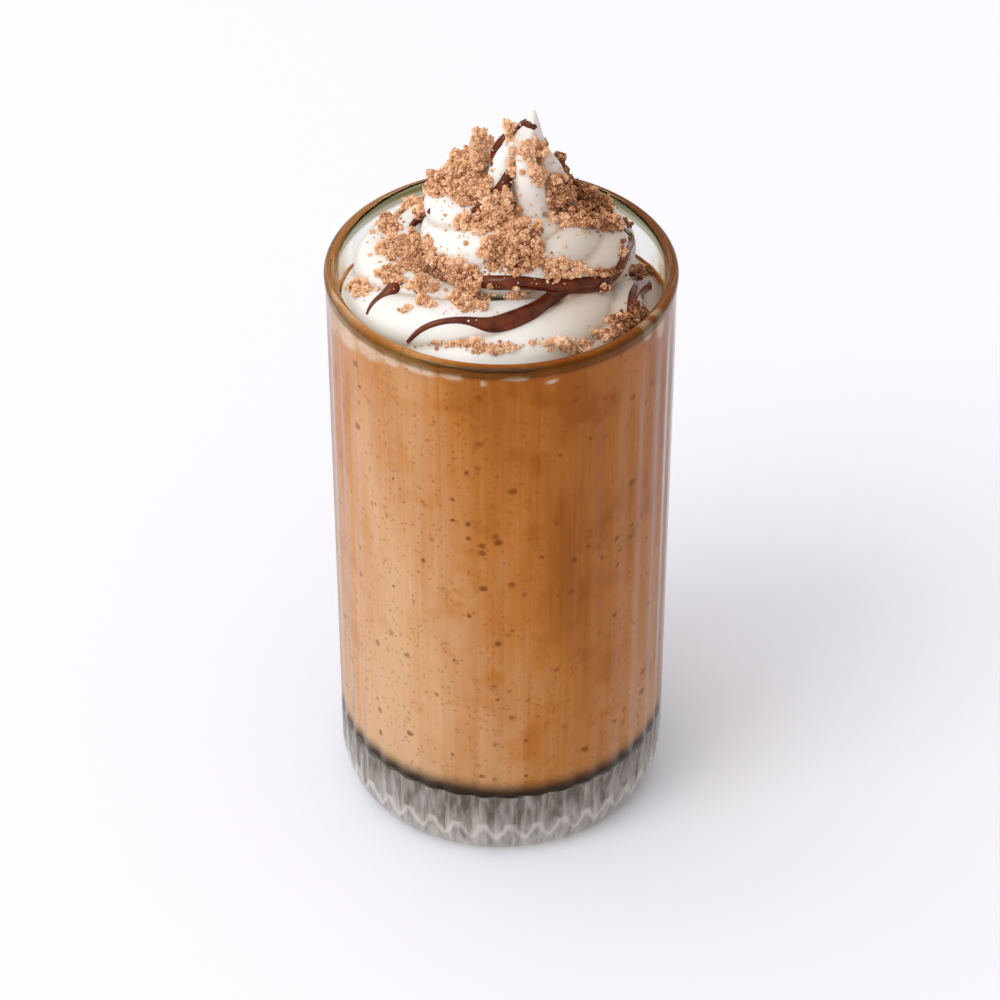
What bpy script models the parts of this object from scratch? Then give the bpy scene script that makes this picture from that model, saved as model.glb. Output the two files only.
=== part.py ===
"""Mocha frappe in a ribbed tumbler, with piped cream, chocolate drizzle and biscuit crumbs.

Metres, +Z up. The origin is the middle of the foot, on the surface the glass stands on.
The front of the drink faces -Y. Three solids: glass, frappe and whipped_cream. The drizzle
and the larger crumbs are fused to the cream they lie on.
"""

import math
import random

import bmesh
import bpy
from mathutils import Vector
from mathutils.bvhtree import BVHTree

MM = 0.001

# Glass
HEIGHT = 0.146
RIM_RADIUS = 0.040
LIP_THICKNESS = 0.0028
WALL_TOP_RADIUS = 0.0398
HEEL_RADIUS = 0.0391
HEEL_HEIGHT = 0.012
FOOT_RADIUS = 0.034
FOOT_RING_WIDTH = 0.005
KICK_UP = 0.0013
BASE_THICKNESS = 0.015
INNER_CORNER = 0.008
INNER_FOOT_RADIUS = 0.036
INNER_TOP_RADIUS = RIM_RADIUS - LIP_THICKNESS
LIP_STEPS = 4
CORNER_STEPS = 2
HEEL_STEPS = 4

# Ribs: each period round the wall holds one wide and one narrow rib
RIB_PERIODS = 19
STEPS_PER_RIB = 3
WIDE_SHARE = 0.55
RIB_DEPTH = 0.0007
FIRST_RIB = math.radians(3.3)
RIB_FADE_TOP = HEIGHT - 0.004
RIB_FADE_BOTTOM = HEIGHT - 0.018

# Drink: thick enough to stay heaped against the front of the glass
GAP = 0.0003
LEVEL_BACK = HEIGHT - 0.0145
FRONT_HEAP = 0.0105
HEAP_SHARPNESS = 2.2
HEAP_STEEPNESS = 1.4
WAVE_HEIGHT = 0.0005
WAVES_ROUND = 3
WAVE_START = 0.8
SURFACE_RINGS = (0.0, 0.35, 0.7, 1.0)
DRINK_STEPS = 48

# Bed of cream on the drink. It is made too wide and too deep, and is cut to glass and drink
BED_RADIUS = 0.039
BED_EDGE = 0.0025
BED_SHOULDER_RADIUS = 0.024
BED_SHOULDER = 0.010
BED_CROWN = 0.012
BED_DEPTH = 0.010
BED_STEPS = 32
MOULD_TOP = HEIGHT + 0.060

# Rope of cream from a star nozzle: two laps, clockwise seen from above, over a station every
# 80 degrees. Each station: radius of the lap, height over the rim and radius of the rope
NOZZLE_POINTS = 5
STEPS_PER_POINT = 4
LOBE_ROUNDNESS = 0.75
ROPE_STAR = 0.17
ROPE_ROLL = math.radians(38)
ROPE_TWIST_PER_LAP = math.radians(-450)
ROPE_START = math.radians(50)
ROPE_TURN = math.radians(-80)
ROPE_STATIONS = [
    (17.5, -13.0, 7.0),
    (24.3, -9.3, 11.7),
    (25.0, -6.2, 12.5),
    (23.8, -6.4, 11.8),
    (20.0, -5.0, 10.5),
    (16.3, 1.0, 10.5),
    (12.8, 6.5, 10.5),
    (12.4, 8.3, 10.4),
    (10.8, 12.1, 9.4),
    (3.0, 12.0, 6.0),
]
ROPE_STEPS = 50
# The upper lap is off centre: its middle moves here between these two turns of the rope
UPPER_CENTRE = (0.004, 0.0035)
SHIFT_START = math.radians(-250)
SHIFT_END = math.radians(-345)

# Peak drawn up from the nozzle: height over the rim, sideways lean and radius
PEAK_CENTRE = (0.0065, 0.004)
PEAK_STAR = 0.46
PEAK_ROLL = math.radians(27)
PEAK_TWIST_PER_MM = math.radians(0.6)
PEAK_STATIONS = [
    (2.0, -0.5, 13.0),
    (8.0, -0.8, 12.4),
    (14.0, -1.0, 11.3),
    (19.0, -1.3, 9.8),
    (24.0, -1.6, 8.6),
    (28.5, -1.9, 6.1),
    (32.0, -0.8, 3.7),
    (35.0, 0.2, 2.0),
    (38.2, 0.6, 0.7),
]
PEAK_STEPS = 10

# Toppings are thrown on from in front of the glass or from behind it: from so far out, and
# from so high. Their places are in millimetres, seen along the throw: across is along X, and
# up is square to the throw. Both count from the middle of the rim
THROWN_FROM = (0.742, 0.659)
THROW_ANGLE = math.atan2(THROWN_FROM[1] - HEIGHT, THROWN_FROM[0])
TOPPING_CLEARANCE = 0.0017

# Each line of chocolate: (across, up, radius of the line)
DRIZZLE_STEP = 0.0042
DRIZZLE_SUNK = 0.3
DRIZZLE_EASING = 2
FRONT_DRIZZLE = {
    "lower_line": [
        (-21.1, -17.6, 0.59), (-18.9, -15.2, 0.73), (-15.5, -13.4, 0.82), (-11.0, -12.5, 0.87),
        (-6.9, -12.7, 1.17), (-2.4, -13.6, 1.9), (2.0, -12.7, 2.34), (6.5, -10.7, 2.2),
        (10.4, -8.2, 1.76), (15.1, -5.5, 1.46)],
    "collar_line": [
        (-7.8, -3.5, 0.87), (-2.4, -4.2, 1.61), (4.3, -4.2, 1.69), (12.6, -4.6, 1.76),
        (18.2, -4.8, 1.9), (22.9, -4.2, 1.9), (26.1, -1.2, 1.76), (28.3, 3.3, 1.46),
        (29.0, 6.2, 1.17), (27.4, 8.0, 0.73)],
    "right_pool": [
        (28.6, -11.8, 0.59), (29.2, -9.1, 0.87), (29.8, -6.2, 1.17), (31.0, -4.2, 1.76),
        (33.0, -4.6, 1.76)],
    "left_line": [
        (-30.3, -11.3, 0.44), (-29.4, -9.3, 0.59), (-27.4, -7.3, 0.87), (-24.5, -5.7, 1.61),
        (-22.2, -2.8, 0.87)],
    "shoulder_line": [
        (-20.2, 8.4, 0.87), (-19.1, 10.0, 1.03), (-17.7, 11.1, 1.03), (-15.9, 12.0, 0.87)],
    "peak_foot": [
        (-6.9, 12.0, 0.73), (-4.0, 12.7, 1.46), (-1.8, 14.0, 1.76), (0.5, 16.7, 1.46),
        (1.6, 19.7, 1.03), (3.2, 22.4, 0.59)],
    "peak_left": [
        (-2.4, 22.4, 0.73), (-2.4, 24.2, 1.03), (-1.8, 26.4, 1.17), (-0.2, 28.2, 1.03),
        (1.6, 29.8, 0.73)],
    "peak_arch": [
        (2.7, 29.1, 0.87), (3.8, 31.1, 1.17), (5.2, 32.0, 1.31), (6.5, 31.8, 1.17), (7.7, 30.2, 0.87)],
    "peak_right": [
        (8.8, 33.1, 0.59), (9.0, 31.3, 0.73), (9.7, 29.1, 0.59)],
    "behind_peak": [
        (13.1, 25.1, 1.03), (14.6, 23.7, 1.76), (15.3, 21.5, 1.76), (16.2, 19.2, 1.17)],
}
BACK_DRIZZLE = {
    "back_collar": [
        (27.0, 8.0, 0.7), (22.0, 4.0, 1.2), (15.0, 1.0, 1.5), (7.0, 0.0, 1.4),
        (-1.0, 1.5, 1.5), (-8.0, 4.0, 1.2), (-14.0, 8.0, 0.8)],
    "back_lower_line": [
        (-20.0, -4.0, 0.7), (-12.0, -7.5, 1.3), (-4.0, -7.0, 1.6), (4.0, -9.0, 1.3),
        (12.0, -7.5, 1.2), (19.0, -3.0, 0.7)],
    "back_peak_line": [(2.0, 24.0, 0.6), (5.0, 21.0, 1.0), (9.0, 18.5, 1.0), (13.0, 13.0, 0.7)],
}

# Each heap of crumbs: (across, up, half its width, half its height)
CRUMB_SEED = 11
CRUMB_SIZES = (0.0012, 0.0023)
CRUMB_ROUGHNESS = (0.75, 1.2)
CRUMB_SUNK = 0.25
CRUMB_SPACING = 0.75
AREA_PER_CRUMB = 22.0
TRIES_PER_CRUMB = 6
FRONT_CRUMBS = [
    (1.9, 31.4, 1.4, 2.2), (-4.6, 27.9, 2.3, 3.6), (-14.6, 18.5, 3.6, 3.8), (-7.4, 17.9, 4.9, 4.9),
    (-6.0, 9.1, 4.7, 2.0), (2.9, 11.8, 5.6, 4.9), (2.5, 2.6, 7.4, 4.9), (13.7, -0.8, 4.7, 2.2),
    (7.2, 25.3, 2.9, 2.9), (8.1, 20.1, 1.3, 2.7), (15.1, 15.6, 4.9, 4.5), (20.5, 12.9, 4.5, 4.0),
    (26.1, 8.9, 2.9, 1.3), (-25.4, 8.4, 2.2, 4.0), (-22.2, 3.3, 4.9, 3.1), (-18.2, 1.7, 4.0, 4.5),
    (-24.9, -2.1, 2.9, 2.0), (-12.3, -0.6, 3.6, 3.1), (-7.8, -3.0, 3.6, 2.7), (-6.9, -8.0, 4.5, 2.7),
    (-17.1, -4.6, 3.1, 2.0), (-32.1, -5.1, 2.7, 1.8), (-16.6, -8.9, 1.8, 1.0), (-22.2, -9.8, 1.1, 0.7),
    (3.8, -6.9, 2.5, 1.0), (-10.3, -17.9, 6.3, 0.8), (-0.2, -18.6, 4.9, 0.7), (-3.6, -19.5, 4.4, 0.6), (15.5, -19.2, 5.5, 0.6), (13.7, -17.6, 7.6, 0.7),
    (23.4, -15.4, 3.6, 1.1), (27.2, -13.1, 3.6, 2.0), (30.8, -10.4, 2.2, 1.8), (31.9, -3.0, 4.3, 2.2),
    (22.3, -1.7, 4.0, 0.9), (23.4, -5.1, 1.1, 0.7), (27.2, 3.0, 0.9, 1.3),
]
BACK_CRUMBS = [
    (-6.0, 10.0, 6.0, 5.0), (10.0, 7.0, 6.0, 4.0), (18.0, -1.0, 5.0, 3.0), (-16.0, 2.0, 5.0, 3.5),
    (0.0, -5.0, 6.0, 3.0), (-20.0, -9.0, 5.0, 2.0), (14.0, -12.0, 6.0, 1.6), (6.0, 18.0, 2.5, 4.0),
]

# Crumbs stacked up against the peak: (x, y, height over the rim, half the size)
STACKED_CRUMBS = [
    (-5.0, 8.0, 21.3, 2.7), (-5.1, 8.0, 24.6, 2.4), (-4.9, 8.0, 27.3, 2.1), (-4.6, 8.0, 29.6, 1.6),
    (2.4, 3.2, 30.8, 1.8), (1.7, 3.5, 33.2, 1.6), (1.2, 3.5, 35.0, 1.1),
]


def material(name, colour, roughness, transmission=0.0):
    """Principled material with a plain base colour."""
    mat = bpy.data.materials.new(name)
    mat.use_nodes = True
    shader = mat.node_tree.nodes["Principled BSDF"]
    shader.inputs["Base Color"].default_value = (*colour, 1.0)
    shader.inputs["Roughness"].default_value = roughness
    shader.inputs["Metallic"].default_value = 0.0
    shader.inputs["Transmission Weight"].default_value = transmission
    return mat


def new_collection(name):
    collection = bpy.data.collections.new(name)
    bpy.context.scene.collection.children.link(collection)
    return collection


def add_mesh(name, mesh, collection):
    obj = bpy.data.objects.new(name, mesh)
    collection.objects.link(obj)
    return obj


def evaluated_mesh(obj):
    """The object's mesh after its modifiers or its bevel, with doubles merged."""
    depsgraph = bpy.context.evaluated_depsgraph_get()
    mesh = bpy.data.meshes.new_from_object(obj.evaluated_get(depsgraph))
    shape = bmesh.new()
    shape.from_mesh(mesh)
    bmesh.ops.remove_doubles(shape, verts=shape.verts, dist=1e-6)
    shape.to_mesh(mesh)
    shape.free()
    return mesh


def bake(obj):
    """Swap an object for a plain mesh of the shape it evaluates to."""
    mesh = evaluated_mesh(obj)
    collection = obj.users_collection[0]
    name = obj.name
    matrix = obj.matrix_world.copy()
    bpy.data.objects.remove(obj)
    baked = add_mesh(name, mesh, collection)
    baked.matrix_world = matrix
    return baked


def turned(name, profile, steps, collection):
    """A profile of (radius, height) points turned round Z. It runs down the outer side."""
    mesh = bpy.data.meshes.new(name)
    points = [(radius, 0.0, height) for radius, height in profile]
    edges = [(i, i + 1) for i in range(len(points) - 1)]
    mesh.from_pydata(points, edges, [])
    obj = add_mesh(name, mesh, collection)
    screw = obj.modifiers.new("turn", "SCREW")
    screw.axis = "Z"
    screw.angle = math.tau
    screw.steps = steps
    screw.render_steps = steps
    screw.use_merge_vertices = True
    screw.merge_threshold = 0.00001
    return bake(obj)


def arc(centre, radii, start, end, steps):
    """Points on an ellipse's arc in (radius, height), from one angle to another in degrees."""
    points = []
    for i in range(steps + 1):
        angle = math.radians(start + (end - start) * i / steps)
        points.append((centre[0] + radii[0] * math.cos(angle), centre[1] + radii[1] * math.sin(angle)))
    return points


def keep_outer_shell(mesh):
    """Drop sealed hollows and loose scraps: only the largest closed shell stays."""
    shape = bmesh.new()
    shape.from_mesh(mesh)
    unseen = set(shape.faces)
    shells = []
    while unseen:
        reached = [unseen.pop()]
        shell = list(reached)
        while reached:
            for edge in reached.pop().edges:
                for face in edge.link_faces:
                    if face in unseen:
                        unseen.remove(face)
                        shell.append(face)
                        reached.append(face)
        shells.append(shell)
    shells.sort(key=len)
    for shell in shells[:-1]:
        bmesh.ops.delete(shape, geom=shell, context="FACES")
    shape.to_mesh(mesh)
    shape.free()


def triangulate(mesh):
    """Split bent four-sided faces, which a Boolean would cut unevenly."""
    shape = bmesh.new()
    shape.from_mesh(mesh)
    bmesh.ops.triangulate(shape, faces=shape.faces)
    shape.to_mesh(mesh)
    shape.free()


def join(base, collection, operation, overlaps_itself=False):
    """Apply one Boolean of everything in a collection to the base, then empty it."""
    boolean = base.modifiers.new("join", "BOOLEAN")
    boolean.operation = operation
    boolean.solver = "EXACT"
    boolean.use_self = overlaps_itself
    boolean.operand_type = "COLLECTION"
    boolean.collection = collection
    boolean.material_mode = "TRANSFER"
    for obj in [base, *collection.objects]:
        triangulate(obj.data)
    baked = bake(base)
    keep_outer_shell(baked.data)
    for obj in list(collection.objects):
        bpy.data.objects.remove(obj)
    return baked


# ---------------------------------------------------------------- glass

def wall_radius(height):
    """Outer radius over the crests of the ribs."""
    share = (height - HEEL_HEIGHT) / (HEIGHT - HEEL_HEIGHT)
    return HEEL_RADIUS + (WALL_TOP_RADIUS - HEEL_RADIUS) * share


def inner_radius(height):
    """Radius of the inner wall."""
    floor = BASE_THICKNESS + INNER_CORNER
    share = (height - floor) / (HEIGHT - LIP_THICKNESS / 2 - floor)
    return INNER_FOOT_RADIUS + (INNER_TOP_RADIUS - INNER_FOOT_RADIUS) * share


def glass_profile():
    lip = LIP_THICKNESS / 2
    corner_middle = (INNER_FOOT_RADIUS - INNER_CORNER, BASE_THICKNESS + INNER_CORNER)
    heel_middle = (FOOT_RADIUS, HEEL_HEIGHT)
    profile = [(0.0, BASE_THICKNESS)]
    profile += arc(corner_middle, (INNER_CORNER, INNER_CORNER), -90, 0, CORNER_STEPS)
    profile += arc((RIM_RADIUS - lip, HEIGHT - lip), (lip, lip), 180, 0, LIP_STEPS)
    profile += [(wall_radius(z), z) for z in (RIB_FADE_TOP, RIB_FADE_BOTTOM)]
    profile += arc(heel_middle, (HEEL_RADIUS - FOOT_RADIUS, HEEL_HEIGHT), 0, -90, HEEL_STEPS)
    profile += [(FOOT_RADIUS - FOOT_RING_WIDTH, 0.0)]
    profile += [(FOOT_RADIUS - FOOT_RING_WIDTH - 2 * KICK_UP, KICK_UP), (0.0, KICK_UP)]
    return profile


def press_ribs(mesh):
    """Press rounded ribs into the outer wall. They run out at the heel as round arches."""
    steps = 2 * STEPS_PER_RIB
    step_angle = math.tau / (RIB_PERIODS * steps)
    for vertex in mesh.vertices:
        radius = math.hypot(vertex.co.x, vertex.co.y)
        if radius < 0.001:
            continue
        turn = round(math.atan2(vertex.co.y, vertex.co.x) / step_angle)
        period, step = divmod(turn, steps)
        if step < STEPS_PER_RIB:
            across = step / STEPS_PER_RIB
            place = WIDE_SHARE * across
        else:
            across = (step - STEPS_PER_RIB) / STEPS_PER_RIB
            place = WIDE_SHARE + (1 - WIDE_SHARE) * across
        start = FIRST_RIB - math.pi / 2 - math.tau / RIB_PERIODS * WIDE_SHARE / 2
        angle = start + math.tau / RIB_PERIODS * (period + place)
        height = vertex.co.z
        on_outside = radius > inner_radius(height) + LIP_THICKNESS / 2 or height < BASE_THICKNESS
        if on_outside and 0.0 < height < RIB_FADE_TOP - 1e-5:
            valley = RIB_DEPTH * (2 * across - 1) ** 2
            radius = min(radius, wall_radius(height) - valley)
        vertex.co.x = radius * math.cos(angle)
        vertex.co.y = radius * math.sin(angle)


def make_glass(collection):
    glass = turned("glass", glass_profile(), RIB_PERIODS * 2 * STEPS_PER_RIB, collection)
    press_ribs(glass.data)
    glass.data.materials.append(material("clear pressed glass", (0.93, 0.92, 0.88), 0.05, 1.0))
    glass.data.shade_smooth()
    glass.data.set_sharp_from_angle(angle=math.radians(40))
    return glass


# ---------------------------------------------------------------- drink

def level(x, y):
    """Height of the drink's surface."""
    radius = math.hypot(x, y) / INNER_TOP_RADIUS
    angle = math.atan2(y, x)
    heap = FRONT_HEAP * ((1 - math.sin(angle)) / 2) ** HEAP_SHARPNESS * radius ** HEAP_STEEPNESS
    wave = WAVE_HEIGHT * radius * math.sin(WAVES_ROUND * angle + WAVE_START)
    return LEVEL_BACK + heap + wave


def flat_surface():
    """Rings of the drink's surface from the middle out, before it is heaped up."""
    edge = inner_radius(LEVEL_BACK) - GAP
    return [(edge * share, LEVEL_BACK) for share in SURFACE_RINGS]


def settle(mesh, lift):
    """Move the flat surface's points to the drink's level."""
    for vertex in mesh.vertices:
        if abs(vertex.co.z - LEVEL_BACK) < 1e-6:
            vertex.co.z = level(vertex.co.x, vertex.co.y) + lift


def make_frappe(collection):
    corner = INNER_CORNER - GAP
    middle = (INNER_FOOT_RADIUS - INNER_CORNER, BASE_THICKNESS + INNER_CORNER)
    profile = flat_surface() + arc(middle, (corner, corner), 0, -90, CORNER_STEPS)
    profile += [(0.0, BASE_THICKNESS + GAP)]
    frappe = turned("frappe", profile, DRINK_STEPS, collection)
    settle(frappe.data, 0.0)
    frappe.data.materials.append(material("blended coffee", (0.50, 0.22, 0.09), 0.5))
    frappe.data.shade_smooth()
    frappe.data.set_sharp_from_angle(angle=math.radians(40))
    return frappe


# ---------------------------------------------------------------- cream

def star(points, depth, steps):
    """Outline of the rope: round lobes with narrow valleys between them, of radius 1."""
    outline = []
    for i in range(points * steps):
        angle = math.tau * i / (points * steps)
        lobe = abs(math.cos(points * angle / 2)) ** LOBE_ROUNDNESS
        radius = 1 - depth + depth * lobe
        outline.append((radius * math.cos(angle), radius * math.sin(angle)))
    return outline


def blend(stations, share):
    """A smooth value between evenly spaced stations."""
    last = len(stations) - 1
    place = min(share * last, last - 1e-9)
    i = int(place)
    t = place - i
    before = stations[max(i - 1, 0)]
    a = stations[i]
    b = stations[i + 1]
    after = stations[min(i + 2, last)]
    result = []
    for p0, p1, p2, p3 in zip(before, a, b, after):
        result.append(0.5 * (2 * p1 + (p2 - p0) * t + (2 * p0 - 5 * p1 + 4 * p2 - p3) * t ** 2
                             + (3 * p1 - p0 - 3 * p2 + p3) * t ** 3))
    return result


def loft(name, path, outline, collection):
    """Skin star sections along a path of (centre, radius, roll, forward, up)."""
    shape = bmesh.new()
    rings = []
    for centre, radius, roll, forward, up in path:
        side = forward.cross(up).normalized()
        over = side.cross(forward).normalized()
        ring = []
        for x, y in outline:
            rolled_x = x * math.cos(roll) - y * math.sin(roll)
            rolled_y = x * math.sin(roll) + y * math.cos(roll)
            ring.append(shape.verts.new(centre + radius * (rolled_x * side + rolled_y * over)))
        rings.append(ring)
    for first, second in zip(rings, rings[1:]):
        for i, vertex in enumerate(first):
            following = (i + 1) % len(first)
            shape.faces.new((vertex, first[following], second[following], second[i]))
    shape.faces.new(rings[0][::-1])
    shape.faces.new(rings[-1])
    bmesh.ops.recalc_face_normals(shape, faces=shape.faces)
    mesh = bpy.data.meshes.new(name)
    shape.to_mesh(mesh)
    shape.free()
    return add_mesh(name, mesh, collection)


def rope_place(share):
    """Centre and radius of the rope, and how far it has turned, part of the way along."""
    lap_radius, height, thickness = blend(ROPE_STATIONS, share)
    turn = ROPE_START + ROPE_TURN * share * (len(ROPE_STATIONS) - 1)
    shift = min(max((turn - SHIFT_START) / (SHIFT_END - SHIFT_START), 0.0), 1.0)
    centre = Vector((
        shift * UPPER_CENTRE[0] + MM * lap_radius * math.cos(turn),
        shift * UPPER_CENTRE[1] + MM * lap_radius * math.sin(turn),
        HEIGHT + MM * height))
    return centre, MM * thickness, turn


def make_rope(collection):
    places = [rope_place(i / ROPE_STEPS) for i in range(ROPE_STEPS + 1)]
    path = []
    for i, (centre, thickness, turn) in enumerate(places):
        forward = places[min(i + 1, ROPE_STEPS)][0] - places[max(i - 1, 0)][0]
        roll = ROPE_ROLL + ROPE_TWIST_PER_LAP * turn / math.tau
        path.append((centre, thickness, roll, forward.normalized(), Vector((0.0, 0.0, 1.0))))
    return loft("rope", path, star(NOZZLE_POINTS, ROPE_STAR, STEPS_PER_POINT), collection)


def make_peak(collection):
    path = []
    for i in range(PEAK_STEPS + 1):
        height, lean, radius = blend(PEAK_STATIONS, i / PEAK_STEPS)
        centre = Vector((PEAK_CENTRE[0] + MM * lean, PEAK_CENTRE[1], HEIGHT + MM * height))
        roll = PEAK_ROLL + PEAK_TWIST_PER_MM * height
        path.append((centre, MM * radius, roll, Vector((0.0, 0.0, 1.0)), Vector((0.0, 1.0, 0.0))))
    return loft("peak", path, star(NOZZLE_POINTS, PEAK_STAR, STEPS_PER_POINT), collection)


def make_bed(collection):
    profile = [
        (0.0, LEVEL_BACK + BED_CROWN),
        (BED_SHOULDER_RADIUS, LEVEL_BACK + BED_SHOULDER),
        (BED_RADIUS, LEVEL_BACK + BED_EDGE),
        (BED_RADIUS, LEVEL_BACK - BED_DEPTH),
        (0.0, LEVEL_BACK - BED_DEPTH),
    ]
    bed = turned("whipped_cream", profile, BED_STEPS, collection)
    for vertex in bed.data.vertices:
        vertex.co.z += level(vertex.co.x, vertex.co.y) - LEVEL_BACK
    bed.data.materials.append(material("whipped cream", (0.93, 0.89, 0.83), 0.45))
    return bed


def make_mould(collection):
    """The space over the drink and within the glass."""
    surface = flat_surface()
    profile = [(0.0, MOULD_TOP), (surface[-1][0], MOULD_TOP)] + surface[::-1]
    mould = turned("mould", profile, DRINK_STEPS, collection)
    settle(mould.data, GAP)
    return mould


def make_cream(collection):
    pieces = new_collection("cream pieces")
    make_rope(pieces)
    make_peak(pieces)
    cream = join(make_bed(collection), pieces, "UNION", overlaps_itself=True)
    make_mould(pieces)
    cream = join(cream, pieces, "INTERSECT")
    surface = BVHTree.FromObject(cream, bpy.context.evaluated_depsgraph_get())
    lay_drizzle(surface, pieces)
    scatter_crumbs(surface, pieces)
    cream = join(cream, pieces, "UNION", overlaps_itself=True)
    bpy.data.collections.remove(pieces)
    cream.data.shade_smooth()
    cream.data.set_sharp_from_angle(angle=math.radians(40))
    return cream


# ---------------------------------------------------------------- toppings

def throw(surface, across, up, from_back):
    """Where something thrown toward (across, up) lands on the cream, with the way out of it."""
    side = -1.0 if from_back else 1.0
    upwards = Vector((0.0, side * math.sin(THROW_ANGLE), math.cos(THROW_ANGLE)))
    start = Vector((0.0, -side * THROWN_FROM[0], THROWN_FROM[1]))
    target = Vector((across, 0.0, HEIGHT)) + up * upwards
    place, outwards, _, _ = surface.ray_cast(start, (target - start).normalized())
    return place, outwards


def clear_of_glass(place, size):
    """Whether a topping of this size stays off the glass."""
    return math.hypot(place.x, place.y) + size < INNER_TOP_RADIUS - TOPPING_CLEARANCE


def drizzle_path(surface, line, from_back):
    """Points of (place, radius) along a line as it lies on the cream."""
    length = 0.0
    for first, second in zip(line, line[1:]):
        length += MM * math.dist(first[:2], second[:2])
    steps = max(3, round(length / DRIZZLE_STEP))
    path = []
    for i in range(steps + 1):
        across, up, radius = (MM * value for value in blend(line, i / steps))
        place, outwards = throw(surface, across, up, from_back)
        if place is not None and clear_of_glass(place, radius):
            path.append((place - DRIZZLE_SUNK * radius * outwards, radius))
    for _ in range(DRIZZLE_EASING):
        eased = path[:]
        for i in range(1, len(path) - 1):
            middle = 0.5 * path[i][0] + 0.25 * (path[i - 1][0] + path[i + 1][0])
            eased[i] = (middle, path[i][1])
        path = eased
    return path


def lay_drizzle(surface, pieces):
    chocolate = material("chocolate sauce", (0.06, 0.015, 0.008), 0.2)
    lines = [(name, line, False) for name, line in FRONT_DRIZZLE.items()]
    lines += [(name, line, True) for name, line in BACK_DRIZZLE.items()]
    for name, line, from_back in lines:
        path = drizzle_path(surface, line, from_back)
        curve = bpy.data.curves.new(name, "CURVE")
        curve.dimensions = "3D"
        curve.bevel_depth = MM
        curve.bevel_resolution = 1
        curve.use_fill_caps = True
        spline = curve.splines.new("POLY")
        spline.points.add(len(path) - 1)
        for point, (place, radius) in zip(spline.points, path):
            point.co = (*place, 1.0)
            point.radius = radius / curve.bevel_depth
        tube = bpy.data.objects.new(name, curve)
        pieces.objects.link(tube)
        tube = bake(tube)
        tube.data.materials.append(chocolate)


def scatter_crumbs(surface, pieces):
    biscuit = material("biscuit crumb", (0.55, 0.28, 0.12), 0.85)
    draw = random.Random(CRUMB_SEED)
    heaps = [(heap, False) for heap in FRONT_CRUMBS] + [(heap, True) for heap in BACK_CRUMBS]
    lying = []
    for (across, up, half_width, half_height), from_back in heaps:
        wanted = math.ceil(math.pi * half_width * half_height / AREA_PER_CRUMB)
        for _ in range(wanted * TRIES_PER_CRUMB):
            if wanted == 0:
                break
            angle = draw.uniform(0.0, math.tau)
            spread = math.sqrt(draw.random())
            size = draw.uniform(*CRUMB_SIZES)
            place, outwards = throw(
                surface, MM * (across + half_width * spread * math.cos(angle)),
                MM * (up + half_height * spread * math.sin(angle)), from_back)
            if place is None or not clear_of_glass(place, size):
                continue
            if any((place - other).length < CRUMB_SPACING * (size + other_size)
                   for other, other_size in lying):
                continue
            lying.append((place, size))
            wanted -= 1
            make_crumb(place + (1 - 2 * CRUMB_SUNK) * 0.5 * size * outwards, size, draw, pieces)
    for x, y, height, size in STACKED_CRUMBS:
        make_crumb((MM * x, MM * y, HEIGHT + MM * height), MM * size, draw, pieces)


def make_crumb(place, size, draw, pieces):
    """A rough lump of twenty faces."""
    shape = bmesh.new()
    bmesh.ops.create_icosphere(shape, subdivisions=1, radius=size)
    for vertex in shape.verts:
        vertex.co *= draw.uniform(*CRUMB_ROUGHNESS)
    mesh = bpy.data.meshes.new("crumb")
    shape.to_mesh(mesh)
    shape.free()
    crumb = add_mesh("crumb", mesh, pieces)
    crumb.location = place
    crumb.rotation_euler = [draw.uniform(0.0, math.tau) for _ in range(3)]
    crumb.data.materials.append(bpy.data.materials["biscuit crumb"])


def main():
    for obj in list(bpy.data.objects):
        bpy.data.objects.remove(obj)
    collection = new_collection("mocha_frappe")
    make_glass(collection)
    make_frappe(collection)
    make_cream(collection)


main()
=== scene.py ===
"""Looks of the mocha frappe: ribbed tumbler, blended coffee, piped cream, chocolate and crumbs.

Metres, +Z up, front at -Y. Sizes of the glass, the drink's level and the path of the piped
cream repeat the values that the solids are made from.
"""

import math
import random

import bpy
import numpy as np
from mathutils import Matrix, Vector, noise
from mathutils.bvhtree import BVHTree


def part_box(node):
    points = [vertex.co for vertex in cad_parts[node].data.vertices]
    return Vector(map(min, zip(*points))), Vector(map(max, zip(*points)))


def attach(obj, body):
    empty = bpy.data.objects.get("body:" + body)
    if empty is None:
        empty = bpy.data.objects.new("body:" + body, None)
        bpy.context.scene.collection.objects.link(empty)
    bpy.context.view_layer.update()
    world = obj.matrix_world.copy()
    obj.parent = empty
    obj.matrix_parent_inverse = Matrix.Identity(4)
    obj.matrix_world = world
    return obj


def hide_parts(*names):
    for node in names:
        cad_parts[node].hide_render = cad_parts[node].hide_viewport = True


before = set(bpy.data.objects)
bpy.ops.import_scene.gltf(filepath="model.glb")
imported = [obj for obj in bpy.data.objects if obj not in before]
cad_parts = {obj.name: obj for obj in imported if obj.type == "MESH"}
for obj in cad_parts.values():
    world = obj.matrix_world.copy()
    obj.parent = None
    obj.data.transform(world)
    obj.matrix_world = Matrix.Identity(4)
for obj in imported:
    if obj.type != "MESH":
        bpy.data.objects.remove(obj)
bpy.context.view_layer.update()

MM = 0.001

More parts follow.
